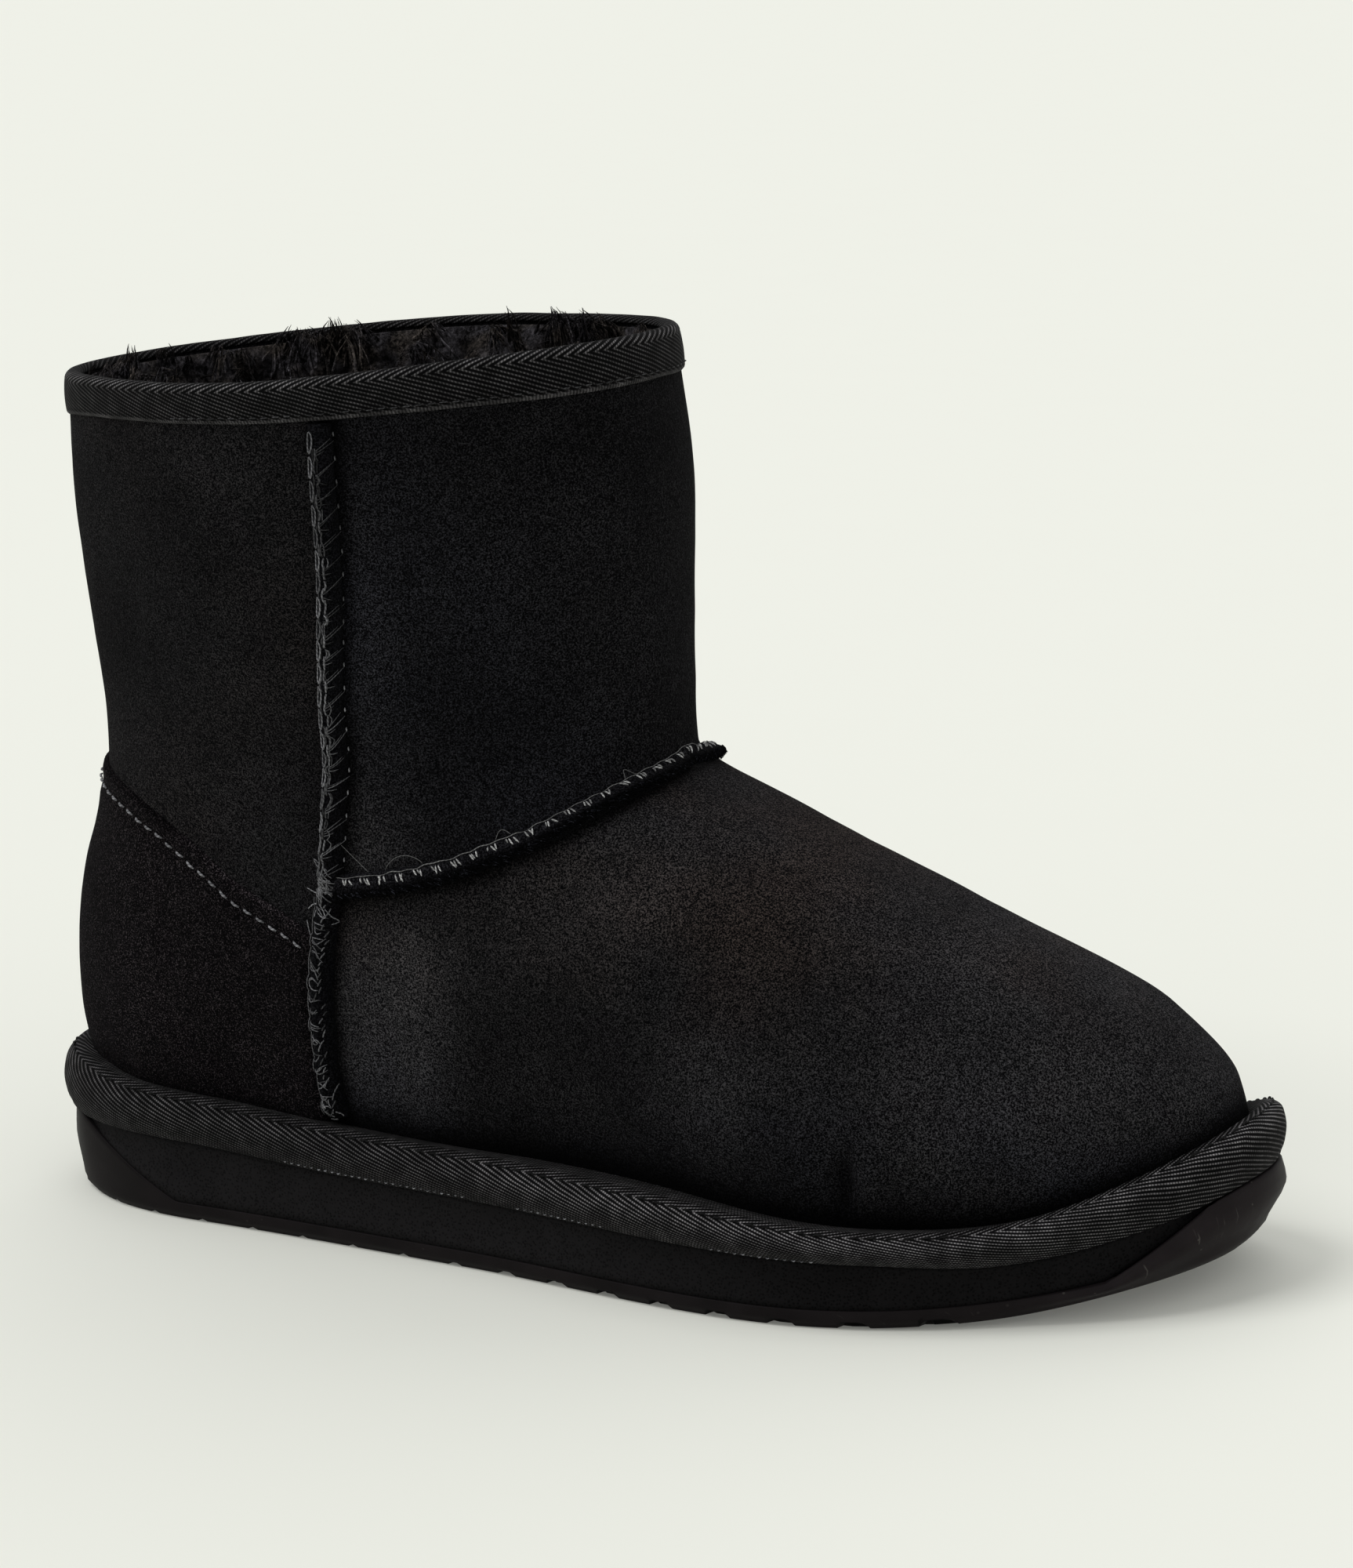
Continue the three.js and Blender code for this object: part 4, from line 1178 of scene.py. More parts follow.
@dataclass
class WoolLining:
    """The fleece that lines the boot: a tufted surface and loose locks, thickest near the rim."""

    columns: int = 400
    rows: int = 130
    depth: float = 8.0
    tuft: float = 7.0
    clumps: int = 520
    locks: int = 5200
    finish: Wool = Wool("wool_fleece")

    def face(self, level: Array, turn: Array) -> tuple[Array, Array]:
        """The fleece's inner face: billows of wool, with creases where slow noise crosses 0.

        Args:
            level: Levels.
            turn: Turns.

        Returns:
            Places, x, y, z last, and how far each is out of the creases, 0 to 1.
        """
        plain = LAST.beyond(level, turn, -self.depth)
        billow = np.minimum(1.0, 3.0 * np.abs(layered_noise(plain, self.tuft, 3, 2))) ** 0.7
        lumps = 3.2 * (billow - 0.6) + 0.8 * layered_noise(plain, 2.2, 8, 2)
        eased = 3.4 + (self.depth - 3.4) * smooth((1 - level) / 0.05)
        out = -(eased + lumps * (0.3 + 0.7 * smooth((1 - level) / 0.04)))
        return LAST.beyond(level, turn, out), billow

    def build(self) -> Objects:
        """Makes the fleece and its locks."""
        turn = np.arange(self.columns) / self.columns
        down = np.linspace(0.985, 0.035, self.rows)[:, None]
        back = np.linspace(0.035, 0.985, 24)[:, None]
        front_face, billow = self.face(down, turn + np.zeros_like(down))
        back_face = LAST.beyond(back, turn, -2.3)
        crown = LAST.beyond(np.full((3, 1), 0.992), turn, np.array([-2.7, -3.1, -3.5])[:, None])
        crown[..., 2] += np.array([1.0, 1.7, 1.5])[:, None]
        points = np.concatenate([back_face, crown, front_face])
        # Painted shade: the fleece is darker lower down in the boot and almost black in the creases between
        # its tufts.
        deep = smooth((points[..., 2] - 70) / 80)
        hollow = np.concatenate([np.ones((27, self.columns)), billow])
        sheet = Sheetwork()
        sheet.add_hoop(points, np.arange(self.columns + 1), np.arange(len(points) + 1),
                       shade=(0.7 + 1.0 * deep) * (0.08 + 0.92 * hollow ** 2))
        material = self.finish.material()
        return [sheet.build("wool_lining", material, "lining_wool"), self.build_locks(material)]

    def build_locks(self, material: Material) -> Piece:
        """Makes the locks: thin curls in clumps that draw together at their tips and lean up near the rim.

        Args:
            material: The wool.

        Returns:
            The piece.
        """
        dice = Dice(41)
        count = self.locks
        clump = np.arange(count) % self.clumps
        heart_turn = dice.spread(0, 1, self.clumps)
        heart_level = 0.986 - 0.42 * dice.spread(0, 1, self.clumps) ** 1.8
        on_rim = (dice.spread(0, 1, self.clumps) < 0.55) & (np.sin(heart_turn * 38 + 1.2) > 0.72)
        heart_level = np.where(on_rim, 0.988, heart_level)
        turn = heart_turn[clump] + dice.bell(0.0065, count)
        level = np.clip(heart_level[clump] + dice.bell(0.010, count), 0.3, 0.989)
        root = self.face(level, turn)[0] + LAST.normal(level, turn) * 0.8
        heart = self.face(heart_level, heart_turn)[0][clump]
        inward = -LAST.normal(level, turn)
        around = unit(np.cross(inward, np.array([0.0, 0.0, 1.0])))
        rise = dice.spread(-0.1, 1.0, self.clumps) + 2.4 * smooth((heart_level - 0.955) / 0.025)
        rise = rise + 1.3 * on_rim
        sway = dice.bell(0.6, self.clumps)
        lean = unit(inward + np.array([0, 0, 1.0]) * (rise[clump] + dice.bell(0.2, count))[:, None]
                    + around * (sway[clump] + dice.bell(0.25, count))[:, None])
        length = (dice.spread(3.4, 7.0, self.clumps)[clump] * dice.spread(0.8, 1.15, count))[:, None, None]
        share = np.linspace(0, 1, 7)[None, :, None]
        wind = dice.spread(3.0, 7.0, count, 1, 1)
        phase = dice.spread(0, 2 * np.pi, count, 1, 1)
        swing = dice.spread(0.25, 0.7, count, 1, 1) * share
        side = unit(np.cross(lean, around + 0.01))
        paths = (root[:, None] + lean[:, None] * share * length
                 + 0.7 * (heart - root)[:, None] * share ** 1.5
                 + around[:, None] * swing * np.cos(wind * share + phase)
                 + side[:, None] * swing * np.sin(wind * share + phase))
        radius = np.array([0.42, 0.44, 0.38, 0.30, 0.22, 0.14, 0.05])
        # The locks' own tone varies at random from clump to clump and is lighter towards the heel; the few
        # very bright locks are painted highlights.
        rear = 1 + 1.6 * smooth((110 - root[:, 0]) / 40)
        tone_and_highlights = 0.30 + 2.0 * rear * dice.spread(0, 1, self.clumps)[clump] ** 2
        tone_and_highlights = tone_and_highlights + 2.6 * dice.spread(0, 1, count) ** 5
        sheet = Sheetwork()
        sheet.add_strands(paths, radius * dice.spread(0.55, 1.1, count)[:, None], 4, shade=tone_and_highlights)
        return sheet.build("wool_locks", material, "lining_wool")


@dataclass
class Footbed:
    """The sheepskin sock on the sole's top, seen down the shaft."""

    columns: int = 160
    finish: Wool = Wool("wool_footbed")

    def build(self) -> Objects:
        """Makes a closed pad whose top is a lumpy surface."""
        turn = np.arange(self.columns) / self.columns
        levels = np.array([0.0, 0.02, 0.04, 0.06, 0.08])
        sink = -LAST.wall - LAST.gap
        rings = np.stack([LAST.beyond(level, turn, sink) for level in levels])
        half = self.columns // 2
        near, far = rings[-1][1:half], rings[-1][:half:-1]
        share = np.linspace(0, 1, 40)[None, 1:-1, None]
        top = mix(near[:, None], far[:, None], share)
        edge = smooth(share[..., 0] / 0.15) * smooth((1 - share[..., 0]) / 0.15)
        lumps = 1.0 + 1.1 * layered_noise(top, 6.0, 12, 3) + 0.5 * layered_noise(top, 2.5, 14, 2)
        top[..., 2] += edge * lumps
        sheet = Sheetwork()
        sheet.add_stack(rings, np.arange(self.columns + 1), roof=top)
        sheet.attributes["shade"] = [np.full(sheet.count, 0.5)]
        return [sheet.build("footbed", self.finish.material(), "lining_wool", ("insole",))]


@dataclass
class HeelCounter:
    """The patch of suede round the heel, with a cut upper edge and a row of topstitching."""

    thickness: float = 1.5
    heel_ridge: float = 1.5
    columns: int = 300
    rows: int = 70
    seam_room: float = 2.2
    stitch_pitch: float = 3.3
    stitch_inset: float = 3.7
    finish: Suede = Suede("suede_counter", dark=(0.0013, 0.0010, 0.0013), light=(0.0900, 0.0765, 0.0845),
                          bite=0.50)

    def ridge(self, turn: Array) -> Array:
        """Extra thickness down the middle of the heel: a bell curve of the turn."""
        return self.heel_ridge * np.exp(-(turn / 0.05) ** 2)

    def low_z(self, x: Array) -> Array:
        """Height of the counter's lower edge, just inside the rand."""
        return LAST.seat(x) + LAST.gap + 8.9 * LAST.rand_scale(x) - 1.5

    def edges(self) -> tuple[Array, Array, Array]:
        """Walks round the heel from the outer side seam to the inner one.

        Returns:
            For each column its turn, and its levels at the lower and the upper edge.
        """
        table = np.linspace(0, 0.30, 1500)
        levels = np.linspace(0.02, 0.74, 600)
        grid = LAST.point(levels[:, None], table[None, :])
        x, z = grid[..., 0], grid[..., 2]
        high = levels[np.argmax(z > SEAMS.counter_z(x), axis=0)]
        low = levels[np.argmax(z > self.low_z(x), axis=0)]
        mid = (high + low) / 2
        at = LAST.point(mid, table)
        last = np.argmax(at[:, 0] > SEAMS.side_x(at[:, 2]) - self.seam_room)
        turn = np.linspace(-1, 1, self.columns) * table[last]
        away = np.abs(turn)
        return turn, np.interp(away, table, low), np.interp(away, table, high)

    def grid(self) -> tuple[Array, Array]:
        """Levels and turns of the patch, whose ends follow the side seams."""
        turn, low, high = self.edges()
        share = np.linspace(0, 1, self.rows)[:, None]
        level = mix(low, high, share)
        z = LAST.point(level, np.abs(turn))[..., 2]
        turn_end = LAST.turn_at(level, SEAMS.side_x(z) - self.seam_room)
        return level, np.linspace(-1, 1, self.columns) * turn_end

    def build(self) -> Objects:
        """Makes the patch and its stitches."""
        level, away = self.grid()
        share = np.linspace(0, 1, self.rows)[:, None]
        ends = np.minimum(1 - np.abs(np.linspace(-1, 1, self.columns)), 0.02) / 0.02
        edge = np.sqrt(np.clip((1 - share) / 0.02, 0, 1)) * np.sqrt(ends)
        puff = -0.35 * (1 - smooth(np.abs(share - 0.93) / 0.05))
        ridge = self.ridge(away) * np.exp(-((share - 0.5) / 0.24) ** 2)
        thick = self.thickness * (1 - 0.3 * smooth((share - 0.86) / 0.14))
        out = 0.2 + (thick + ridge) * edge + puff
        points = SKIN.point(level, away, out)
        table = np.arange(points.shape[0] * points.shape[1]).reshape(points.shape[:2])
        under = SKIN.point(level, away, -0.6)
        sheet = Sheetwork()
        cloud = layered_noise(points, 24.0, 51, 3)
        # Painted shade and highlight: the patch darkens towards the rand, and along its cut top edge it
        # carries a painted highlight towards the side seam and painted shade towards the heel.
        lift = smooth((share - 0.98) / 0.012) * mix(-0.4, 1.5, smooth((points[..., 0] - 40) / 14))
        shade = (0.88 + 0.15 * cloud) * (0.35 + 0.65 * smooth(share / 0.16)) * (1 + lift)
        far = len(table.ravel())
        rim = np.concatenate([table[0], table[1:, -1], table[-1, -2::-1], table[-2:0:-1, 0]])
        skirt = np.stack([np.roll(rim, -1), rim, rim + far, np.roll(rim, -1) + far], axis=1)
        faces = np.concatenate([cell_faces(table), cell_faces(table + far)[:, ::-1], skirt])
        both = np.concatenate([points.reshape(-1, 3), under.reshape(-1, 3)])
        shade = np.broadcast_to(shade, points.shape[:2]).ravel()
        sheet.add(both, [faces], shade=np.concatenate([shade, shade]),
                  warmth=np.full(2 * far, 0.3), pebble=np.zeros(2 * far))
        piece = sheet.build("heel_counter", self.finish.material(), "counter_suede", ("heel_counter",))
        return [piece, self.build_stitches(level, away)]

    def build_stitches(self, level: Array, away: Array) -> Piece:
        """Makes the row of stitches that follows the patch's upper edge.

        Args:
            level: Levels of the patch's grid.
            away: Turns of the patch's grid.

        Returns:
            The piece.
        """
        top = SKIN.point(level[-1], away[-1], 0.84 * self.thickness)
        below = SKIN.point(level[-12], away[-12], 0.84 * self.thickness + 0.1 * self.ridge(away[-12]))
        drop = unit(below - top)
        line = top + drop * self.stitch_inset
        normal = LAST.normal(level[-4], away[-4])
        run = Run(line, unit(np.gradient(line, axis=0)), drop, normal)
        start = np.arange(2.0, run.length - 3.5, self.stitch_pitch)
        dice = Dice(17)
        share = np.linspace(0, 1, 6)
        distance = start[:, None] + share * (self.stitch_pitch * 0.62)
        aside = dice.bell(0.10, len(start), 1) + share * dice.bell(0.12, len(start), 1)
        arch = 0.15 + 0.32 * np.sin(np.pi * share)
        paths = run.at(distance, aside, arch - 0.15)
        sheet = Sheetwork()
        radius = np.array([0.16, 0.25, 0.27, 0.27, 0.25, 0.16])
        sheet.add_strands(paths, radius, 6, run.normal_at(start), tone=dice.spread(2.2, 4.2, len(start)))
        thread = Thread("thread_topstitch", colour=(0.085, 0.085, 0.09), dark=(0.02, 0.02, 0.022))
        return sheet.build("counter_topstitch", thread.material(), "counter_suede")


@dataclass
class SideSeam:
    """The raised seam up one side: two cut edges sewn together, with loops, whip stitches and knots."""

    side: Side
    breadth: float = 4.9
    proud: float = 3.7
    steps: int = 420
    around: int = 22
    pitch: float = 4.6
    joint_z: float = 75.0
    finish: Suede = Suede("suede_seam", dark=(0.0008, 0.0008, 0.0011), light=(0.0120, 0.0120, 0.0140),
                          speckle=0.0004)

    @cached_property
    def run(self) -> Run:
        """The seam's path, with its crosswise direction towards the toe."""
        level, turn = SEAMS.side_path(self.side, self.steps)
        return Run.on_skin(level, turn, flip=self.side is Side.OUTER)

    def height(self, distance: Array, aside: Array) -> Array:
        """Height of the ridge: a rounded crown, pinched where each whip stitch goes round it.

        Args:
            distance: How far along it.
            aside: How far across it.

        Returns:
            Millimetres along the normal.
        """
        share = np.clip(np.abs(aside) / (self.breadth / 2), 0, 1)
        pinch = 0.86 + 0.14 * np.abs(np.sin(np.pi * distance / self.pitch))
        foot = smooth(distance / 3.0) * 0.45 + 0.55
        ends = foot * (1 - 0.45 * smooth((distance - self.run.length + 9) / 9))
        return self.proud * pinch * ends * (1 - share ** 2.2) ** 0.62

    def build(self) -> Objects:
        """Makes the ridge and its threads."""
        run = self.run
        angle = np.linspace(0, 2 * np.pi, self.around, endpoint=False)
        distance = run.distance[:, None]
        wobble = 0.18 * line_noise(run.distance, 3.0, 23)[:, None]
        aside = np.cos(angle) * self.breadth / 2 + wobble
        crown = self.height(distance, np.cos(angle) * self.breadth / 2 * 0.999)
        up = np.where(np.sin(angle) > 0, crown, -0.5)
        points = run.at(distance + 0 * angle, aside, up)
        sheet = Sheetwork()
        # Painted light: the ridge is lighter on its crown and darker down its flanks.
        sheet.add_bar(points, np.linspace(0, 14, self.around + 1), run.distance,
                      shade=0.8 + 0.25 * np.sin(angle) + 0 * distance, warmth=0.0, pebble=0.2)
        name = "side_seam_" + self.side.name.lower()
        piece = sheet.build(name, self.finish.material(), "seam_suede", (name,))
        return [piece, self.build_threads()]

    def build_threads(self) -> Piece:
        """Makes the crest thread, the loops, whip stitches and base dots above, and the ladder below.

        Returns:
            The piece.
        """
        run = self.run
        dice = Dice(5 if self.side is Side.OUTER else 6)
        sheet = Sheetwork()
        half = self.breadth / 2
        joint = float(run.distance[np.argmax(run.points[:, 2] > self.joint_z)])
        share = np.linspace(0, 1, 8)
        bow = np.sin(np.pi * share)

        def lay(distance: Array, aside: Array, lift: Array, radius: float, sides: int, tone: Array) -> None:
            """Lays strands on the ridge at distances and places aside, lifted off it."""
            distance, aside, lift = np.broadcast_arrays(distance, aside, lift)
            up = self.height(distance, aside) + lift
            taper = radius * (0.55 + 0.45 * np.sin(np.pi * np.linspace(0.08, 0.92, distance.shape[1])))
            sheet.add_strands(run.at(distance, aside, up), taper, sides,
                              run.normal_at(distance[:, 0]), tone=tone)

        pieces = np.arange(joint - 3, run.length - 6, 2.3)
        fine = pieces[:, None] + share * dice.spread(1.9, 3.0, len(pieces), 1)
        dim = mix(1.0, 0.35, smooth((pieces - run.length + 26) / 12))
        for aside, radius, low, high in (
                (-0.1, 0.21, 0.4, 2.4), (0.15, 0.13, 0.3, 1.5), (-0.85, 0.15, 0.2, 1.2)):
            wander = dice.bell(0.2, len(pieces), 1) + 0.35 * bow * dice.bell(1.0, len(pieces), 1)
            lay(fine, aside + wander, 0.12, radius, 6, dim * dice.spread(low, high, len(pieces)))
        edge = np.linspace(0.6, joint - 2, 300)[None, :]
        lay(edge, -half - 0.1 + 0.2 * np.sin(edge * 0.7), 1.7, 0.13, 5, np.array([1.5]))
        start = np.arange(joint + 3.0, run.length - 4.0, self.pitch)
        start = start + dice.bell(0.18, len(start))
        count = len(start)
        fade = mix(1.0, 0.35, smooth((start - run.length * 0.6) / 20))
        for lead, climb, reach, radius in (
                (0.0, 2.5, 1.1, 0.12), (0.45, 2.0, 0.9, 0.10), (-0.5, 0.4, 0.6, 0.11)):
            distance = start[:, None] + lead + share ** 1.3 * (climb + dice.bell(0.4, count, 1))
            aside = mix(-0.3, half * reach, share) + dice.bell(0.1, count, 1)
            lay(distance, aside, 0.10 + 0.15 * bow, radius, 5, fade * dice.spread(0.5, 1.9, count))
        loop = np.linspace(0.2, 2 * np.pi + 0.1, 14)
        lay(start[:, None] + 2.0 + 2.0 * np.cos(loop), -half * 0.66 + 0.62 * np.sin(loop), 0.3, 0.2, 5,
            dice.spread(0.9, 2.6, count))
        lay(start[:, None] + 2.9 + 0.9 * share, half * 1.12, 0.30, 0.17, 5,
            fade * dice.spread(1.6, 3.6, count))
        rungs = np.arange(2.0, joint - 3.0, 3.1)
        rungs = np.concatenate([rungs, rungs + 0.3, rungs - 0.45])
        rungs = rungs + dice.bell(0.2, len(rungs))
        count = len(rungs)
        bend = bow * dice.bell(0.7, count, 1)
        lay(rungs[:, None] + (share - 0.5) * dice.bell(1.3, count, 1) + bend,
            mix(-half * dice.spread(0.5, 1.0, count, 1), half * dice.spread(0.1, 0.7, count, 1), share),
            0.12, 0.13, 5, dice.spread(0.3, 2.2, count))
        posts = np.arange(1.5, joint - 3.0, 1.55)
        count = len(posts)
        lay(posts[:, None] + share * dice.spread(0.8, 1.7, count, 1),
            half * 0.35 + dice.bell(0.45, count, 1) + 0.5 * share, 0.14, 0.16, 5,
            dice.spread(0.4, 1.9, count))
        count = 46
        centre = np.where(np.arange(count) < 34, joint, 1.6)[:, None] + dice.bell(1.7, count, 1)
        bend = bow * dice.bell(0.9, count, 1)
        lay(centre + share * dice.bell(1.8, count, 1) + bend,
            dice.bell(1.1, count, 1) + share * dice.bell(1.5, count, 1) - bend, 0.2, 0.14, 5,
            dice.spread(0.4, 3.0, count))
        lay(joint - 7.0 + np.array([[1.0], [-1.5]]) * (1 + 2.2 * np.sin(2.6 * share)) - share,
            -half - 2.6 + 3.4 * share, 0.25, 0.15, 5, np.array([3.6, 3.0]))
        side = self.side.name.lower()
        thread = Thread("thread_side_" + side, colour=(0.105, 0.105, 0.11), dark=(0.030, 0.030, 0.033))
        return sheet.build("side_stitches_" + side, thread.material(), "seam_suede")


@dataclass
class VampSeam:
    """The raised seam between shaft and vamp, with a light edge thread and a frayed lower edge."""

    breadth: float = 4.5
    proud: float = 2.4
    steps: int = 520
    around: int = 22
    pitch: float = 4.1
    finish: Suede = Suede("suede_vamp_seam", dark=(0.0008, 0.0008, 0.0012), light=(0.0300, 0.0295, 0.0340),
                          speckle=0.0004)

    @cached_property
    def run(self) -> Run:
        """The seam's path, with its crosswise direction upwards."""
        level, turn = SEAMS.vamp_path(self.steps)
        return Run.on_skin(level, turn)

    def height(self, distance: Array, aside: Array) -> Array:
        """Height of the band: a low slope above, and a proud rolled edge below.

        Args:
            distance: How far along it.
            aside: How far across it, upwards.

        Returns:
            Millimetres along the normal.
        """
        share = np.clip(0.5 - aside / self.breadth, 0, 1)
        shape = curve_through((0, 0.12, 0.45, 0.8, 0.93, 1.0), (0.05, 0.55, 0.8, 1.0, 0.85, 0.1))(share)
        fade = 1 - 0.8 * smooth(1 - np.abs(distance - self.run.length / 2) / 20)
        return (0.35 + self.proud * fade) * shape

    def build(self) -> Objects:
        """Makes the band, its threads and its frayed edge."""
        run = self.run
        angle = np.linspace(0, 2 * np.pi, self.around, endpoint=False)
        distance = run.distance[:, None]
        aside = np.cos(angle) * self.breadth / 2
        ragged = 0.3 * line_noise(run.distance, 1.6, 29)[:, None]
        crown = self.height(distance, aside)
        up = np.where(np.sin(angle) > 0, crown, -0.6)
        aside = aside + np.where(np.cos(angle) < -0.5, ragged, 0)
        sheet = Sheetwork()
        # Painted shade: the band darkens towards its lower, overhanging edge.
        shade = 1.0 - 0.86 * smooth((0.1 - aside / self.breadth) / 0.38)
        sheet.add_bar(run.at(distance + 0 * angle, aside, up), np.linspace(0, 14, self.around + 1),
                      run.distance, shade=shade, warmth=0.0, pebble=0.2)
        piece = sheet.build("vamp_seam", self.finish.material(), "seam_suede", ("vamp_seam",))
        return [piece, self.build_threads(), self.build_fray()]

    def build_threads(self) -> Piece:
        """Makes the light thread along the upper edge, the grouped stitches and a few stray ends.

        Returns:
            The piece.
        """
        run = self.run
        dice = Dice(71)
        sheet = Sheetwork()
        top = self.breadth / 2
        fine = np.linspace(1.0, run.length - 1.0, 900)
        rough = line_noise(fine, 2.4, 53)
        sway = 0.10 * np.sin(fine * 2 * np.pi / self.pitch) + 0.22 * rough
        edge = run.at(fine, top - 0.55 + sway, self.height(fine, top - 0.6) + 0.12)
        sheet.add_strands(edge[None], 0.085 + 0.045 * rough, 5, run.normal_at(fine[:1]),
                          tone=np.array([1.6]))
        group = np.arange(2.5, run.length - 4.0, self.pitch)
        start = (group[:, None] + (0.0, 0.72, 1.45) + dice.bell(0.16, len(group), 3)).ravel()
        share = np.linspace(0, 1, 6)
        count = len(start)
        mirror = np.where(start < run.length / 2, 1.0, -1.0)[:, None]
        distance = start[:, None] + mirror * share * dice.spread(-0.35, 1.1, count, 1)
        aside = top - 0.75 - dice.spread(0.0, 0.35, count, 1) - share * dice.spread(0.8, 1.7, count, 1)
        up = self.height(distance, aside) + 0.04 + 0.14 * np.sin(np.pi * share)
        sheet.add_strands(run.at(distance, aside, up), np.array([.08, .15, .18, .18, .15, .08]), 6,
                          run.normal_at(start), tone=dice.spread(1.6, 5.0, count))
        self.add_stray_ends(sheet)
        thread = Thread("thread_vamp", colour=(0.14, 0.14, 0.14), dark=(0.05, 0.05, 0.05))
        return sheet.build("vamp_stitches", thread.material(), "seam_suede")

    def add_stray_ends(self, sheet: Sheetwork) -> None:
        """Adds the few loose fibres that curl up from the seam near its outer end."""
        run = self.run
        share = np.linspace(0, 1, 24)
        top = self.breadth / 2
        curls = (
            (8.0 - 6.0 * share - 1.0 * np.sin(np.pi * share), top + 6.5 * np.sin(1.6 * share)),
            (12.0 + 8.5 * share, top + 2.3 * np.sin(np.pi * share) ** 0.7),
            (37.0 + 3.2 * share, top + 1.4 * np.sin(np.pi * share)),
            (66.0 + 3.0 * share, top + 2.0 * np.sin(np.pi * share) ** 2),
        )
        paths = np.stack([run.at(along, aside, 0.7 + 0 * share) for along, aside in curls])
        sheet.add_strands(paths, 0.075, 5, tone=np.full(len(curls), 1.2))

    def build_fray(self) -> Piece:
        """Makes the combed fibres of the seam's cut lower edge.

        Returns:
            The piece.
        """
        run = self.run
        dice = Dice(83)
        count = 2000
        start = np.sort(dice.spread(1.0, run.length - 1.0, count))
        share = np.linspace(0, 1, 4)
        mirror = np.where(start < run.length / 2, 1.0, -1.0)[:, None]
        bottom = -self.breadth / 2
        rise = dice.spread(0.1, 1.2, count, 1)
        distance = start[:, None] + mirror * share * dice.spread(0.4, 1.5, count, 1)
        aside = bottom + rise - share * dice.spread(0.4, 0.9, count, 1)
        up = self.height(start[:, None], bottom + rise) + 0.15
        up = up - share ** 2 * dice.spread(0, 1.1, count, 1)
        sheet = Sheetwork()
        # Painted shade and highlights: the fibres are mostly near black, with a few very bright ones as
        # highlights.
        sheet.add_strands(run.at(distance, aside, up), np.array([.08, .09, .08, .03]), 4,
                          shade=0.1 + 2.6 * dice.spread(0, 1, count) ** 7, warmth=np.full(count, -1.0),
                          pebble=np.zeros(count))
        return sheet.build("vamp_fray", self.finish.material(), "seam_suede")


@dataclass(frozen=True)
class TapeStitches:
    """Rows of stitches that hold a tape."""

    pitch: float = 3.4
    share: float = 0.72
    radius: float = 0.22
    cover: float = 1.0
    colour: Colour = (0.055, 0.055, 0.058)

    def add_to(self, sheet: Sheetwork, points: Array, row: int, dice: Dice, tone: float = 1.0) -> None:
        """Adds stitches along one row of a band of tape.

        Args:
            sheet: Where they are added.
            points: The band's grid, rows round the section by columns round the boot.
            row: The row.
            dice: Random numbers.
            tone: How light they are.
        """
        line = points[row]
        ahead = np.roll(line, -1, 0) - np.roll(line, 1, 0)
        normal = wrap(unit(np.cross(ahead, points[row + 1] - points[row - 1])), 0)
        line = wrap(line, 0)
        distance = lengths(line)
        count = int(distance[-1] / self.pitch)
        start = np.arange(count) * distance[-1] / count
        patchy = layered_noise(np.stack([start, start * 0], -1), 26.0, 19, 2)
        start = start[patchy > 0.6 - 1.6 * self.cover]
        count = len(start)
        share = np.linspace(0, 1, 6)
        at = start[:, None] + share * self.pitch * self.share
        away = unit(read_along(at, distance, normal))
        arch = (self.radius * 1.2 * np.sin(np.pi * share) - 0.05)[..., None]
        centre = read_along(at, distance, line) + away * arch + dice.bell(0.05, count, 1, 3)
        taper = np.array([0.6, 0.95, 1, 1, 0.95, 0.6]) * self.radius
        sheet.add_strands(centre, taper * dice.spread(0.6, 1.1, count, 1), 6, away[:, 2],
                          tone=tone * dice.spread(0.5, 1.3, count))


def tape_lengths(points: Array, row: int, column: int, repeat: float) -> tuple[Array, Array]:
    """Texture coordinates of a band's columns, fitted to whole repeats of the weave, and of its rows."""
    u = lengths(wrap(points[row], 0))
    return u * (round(u[-1] / repeat) * repeat / u[-1]), lengths(wrap(points[:, column], 0))


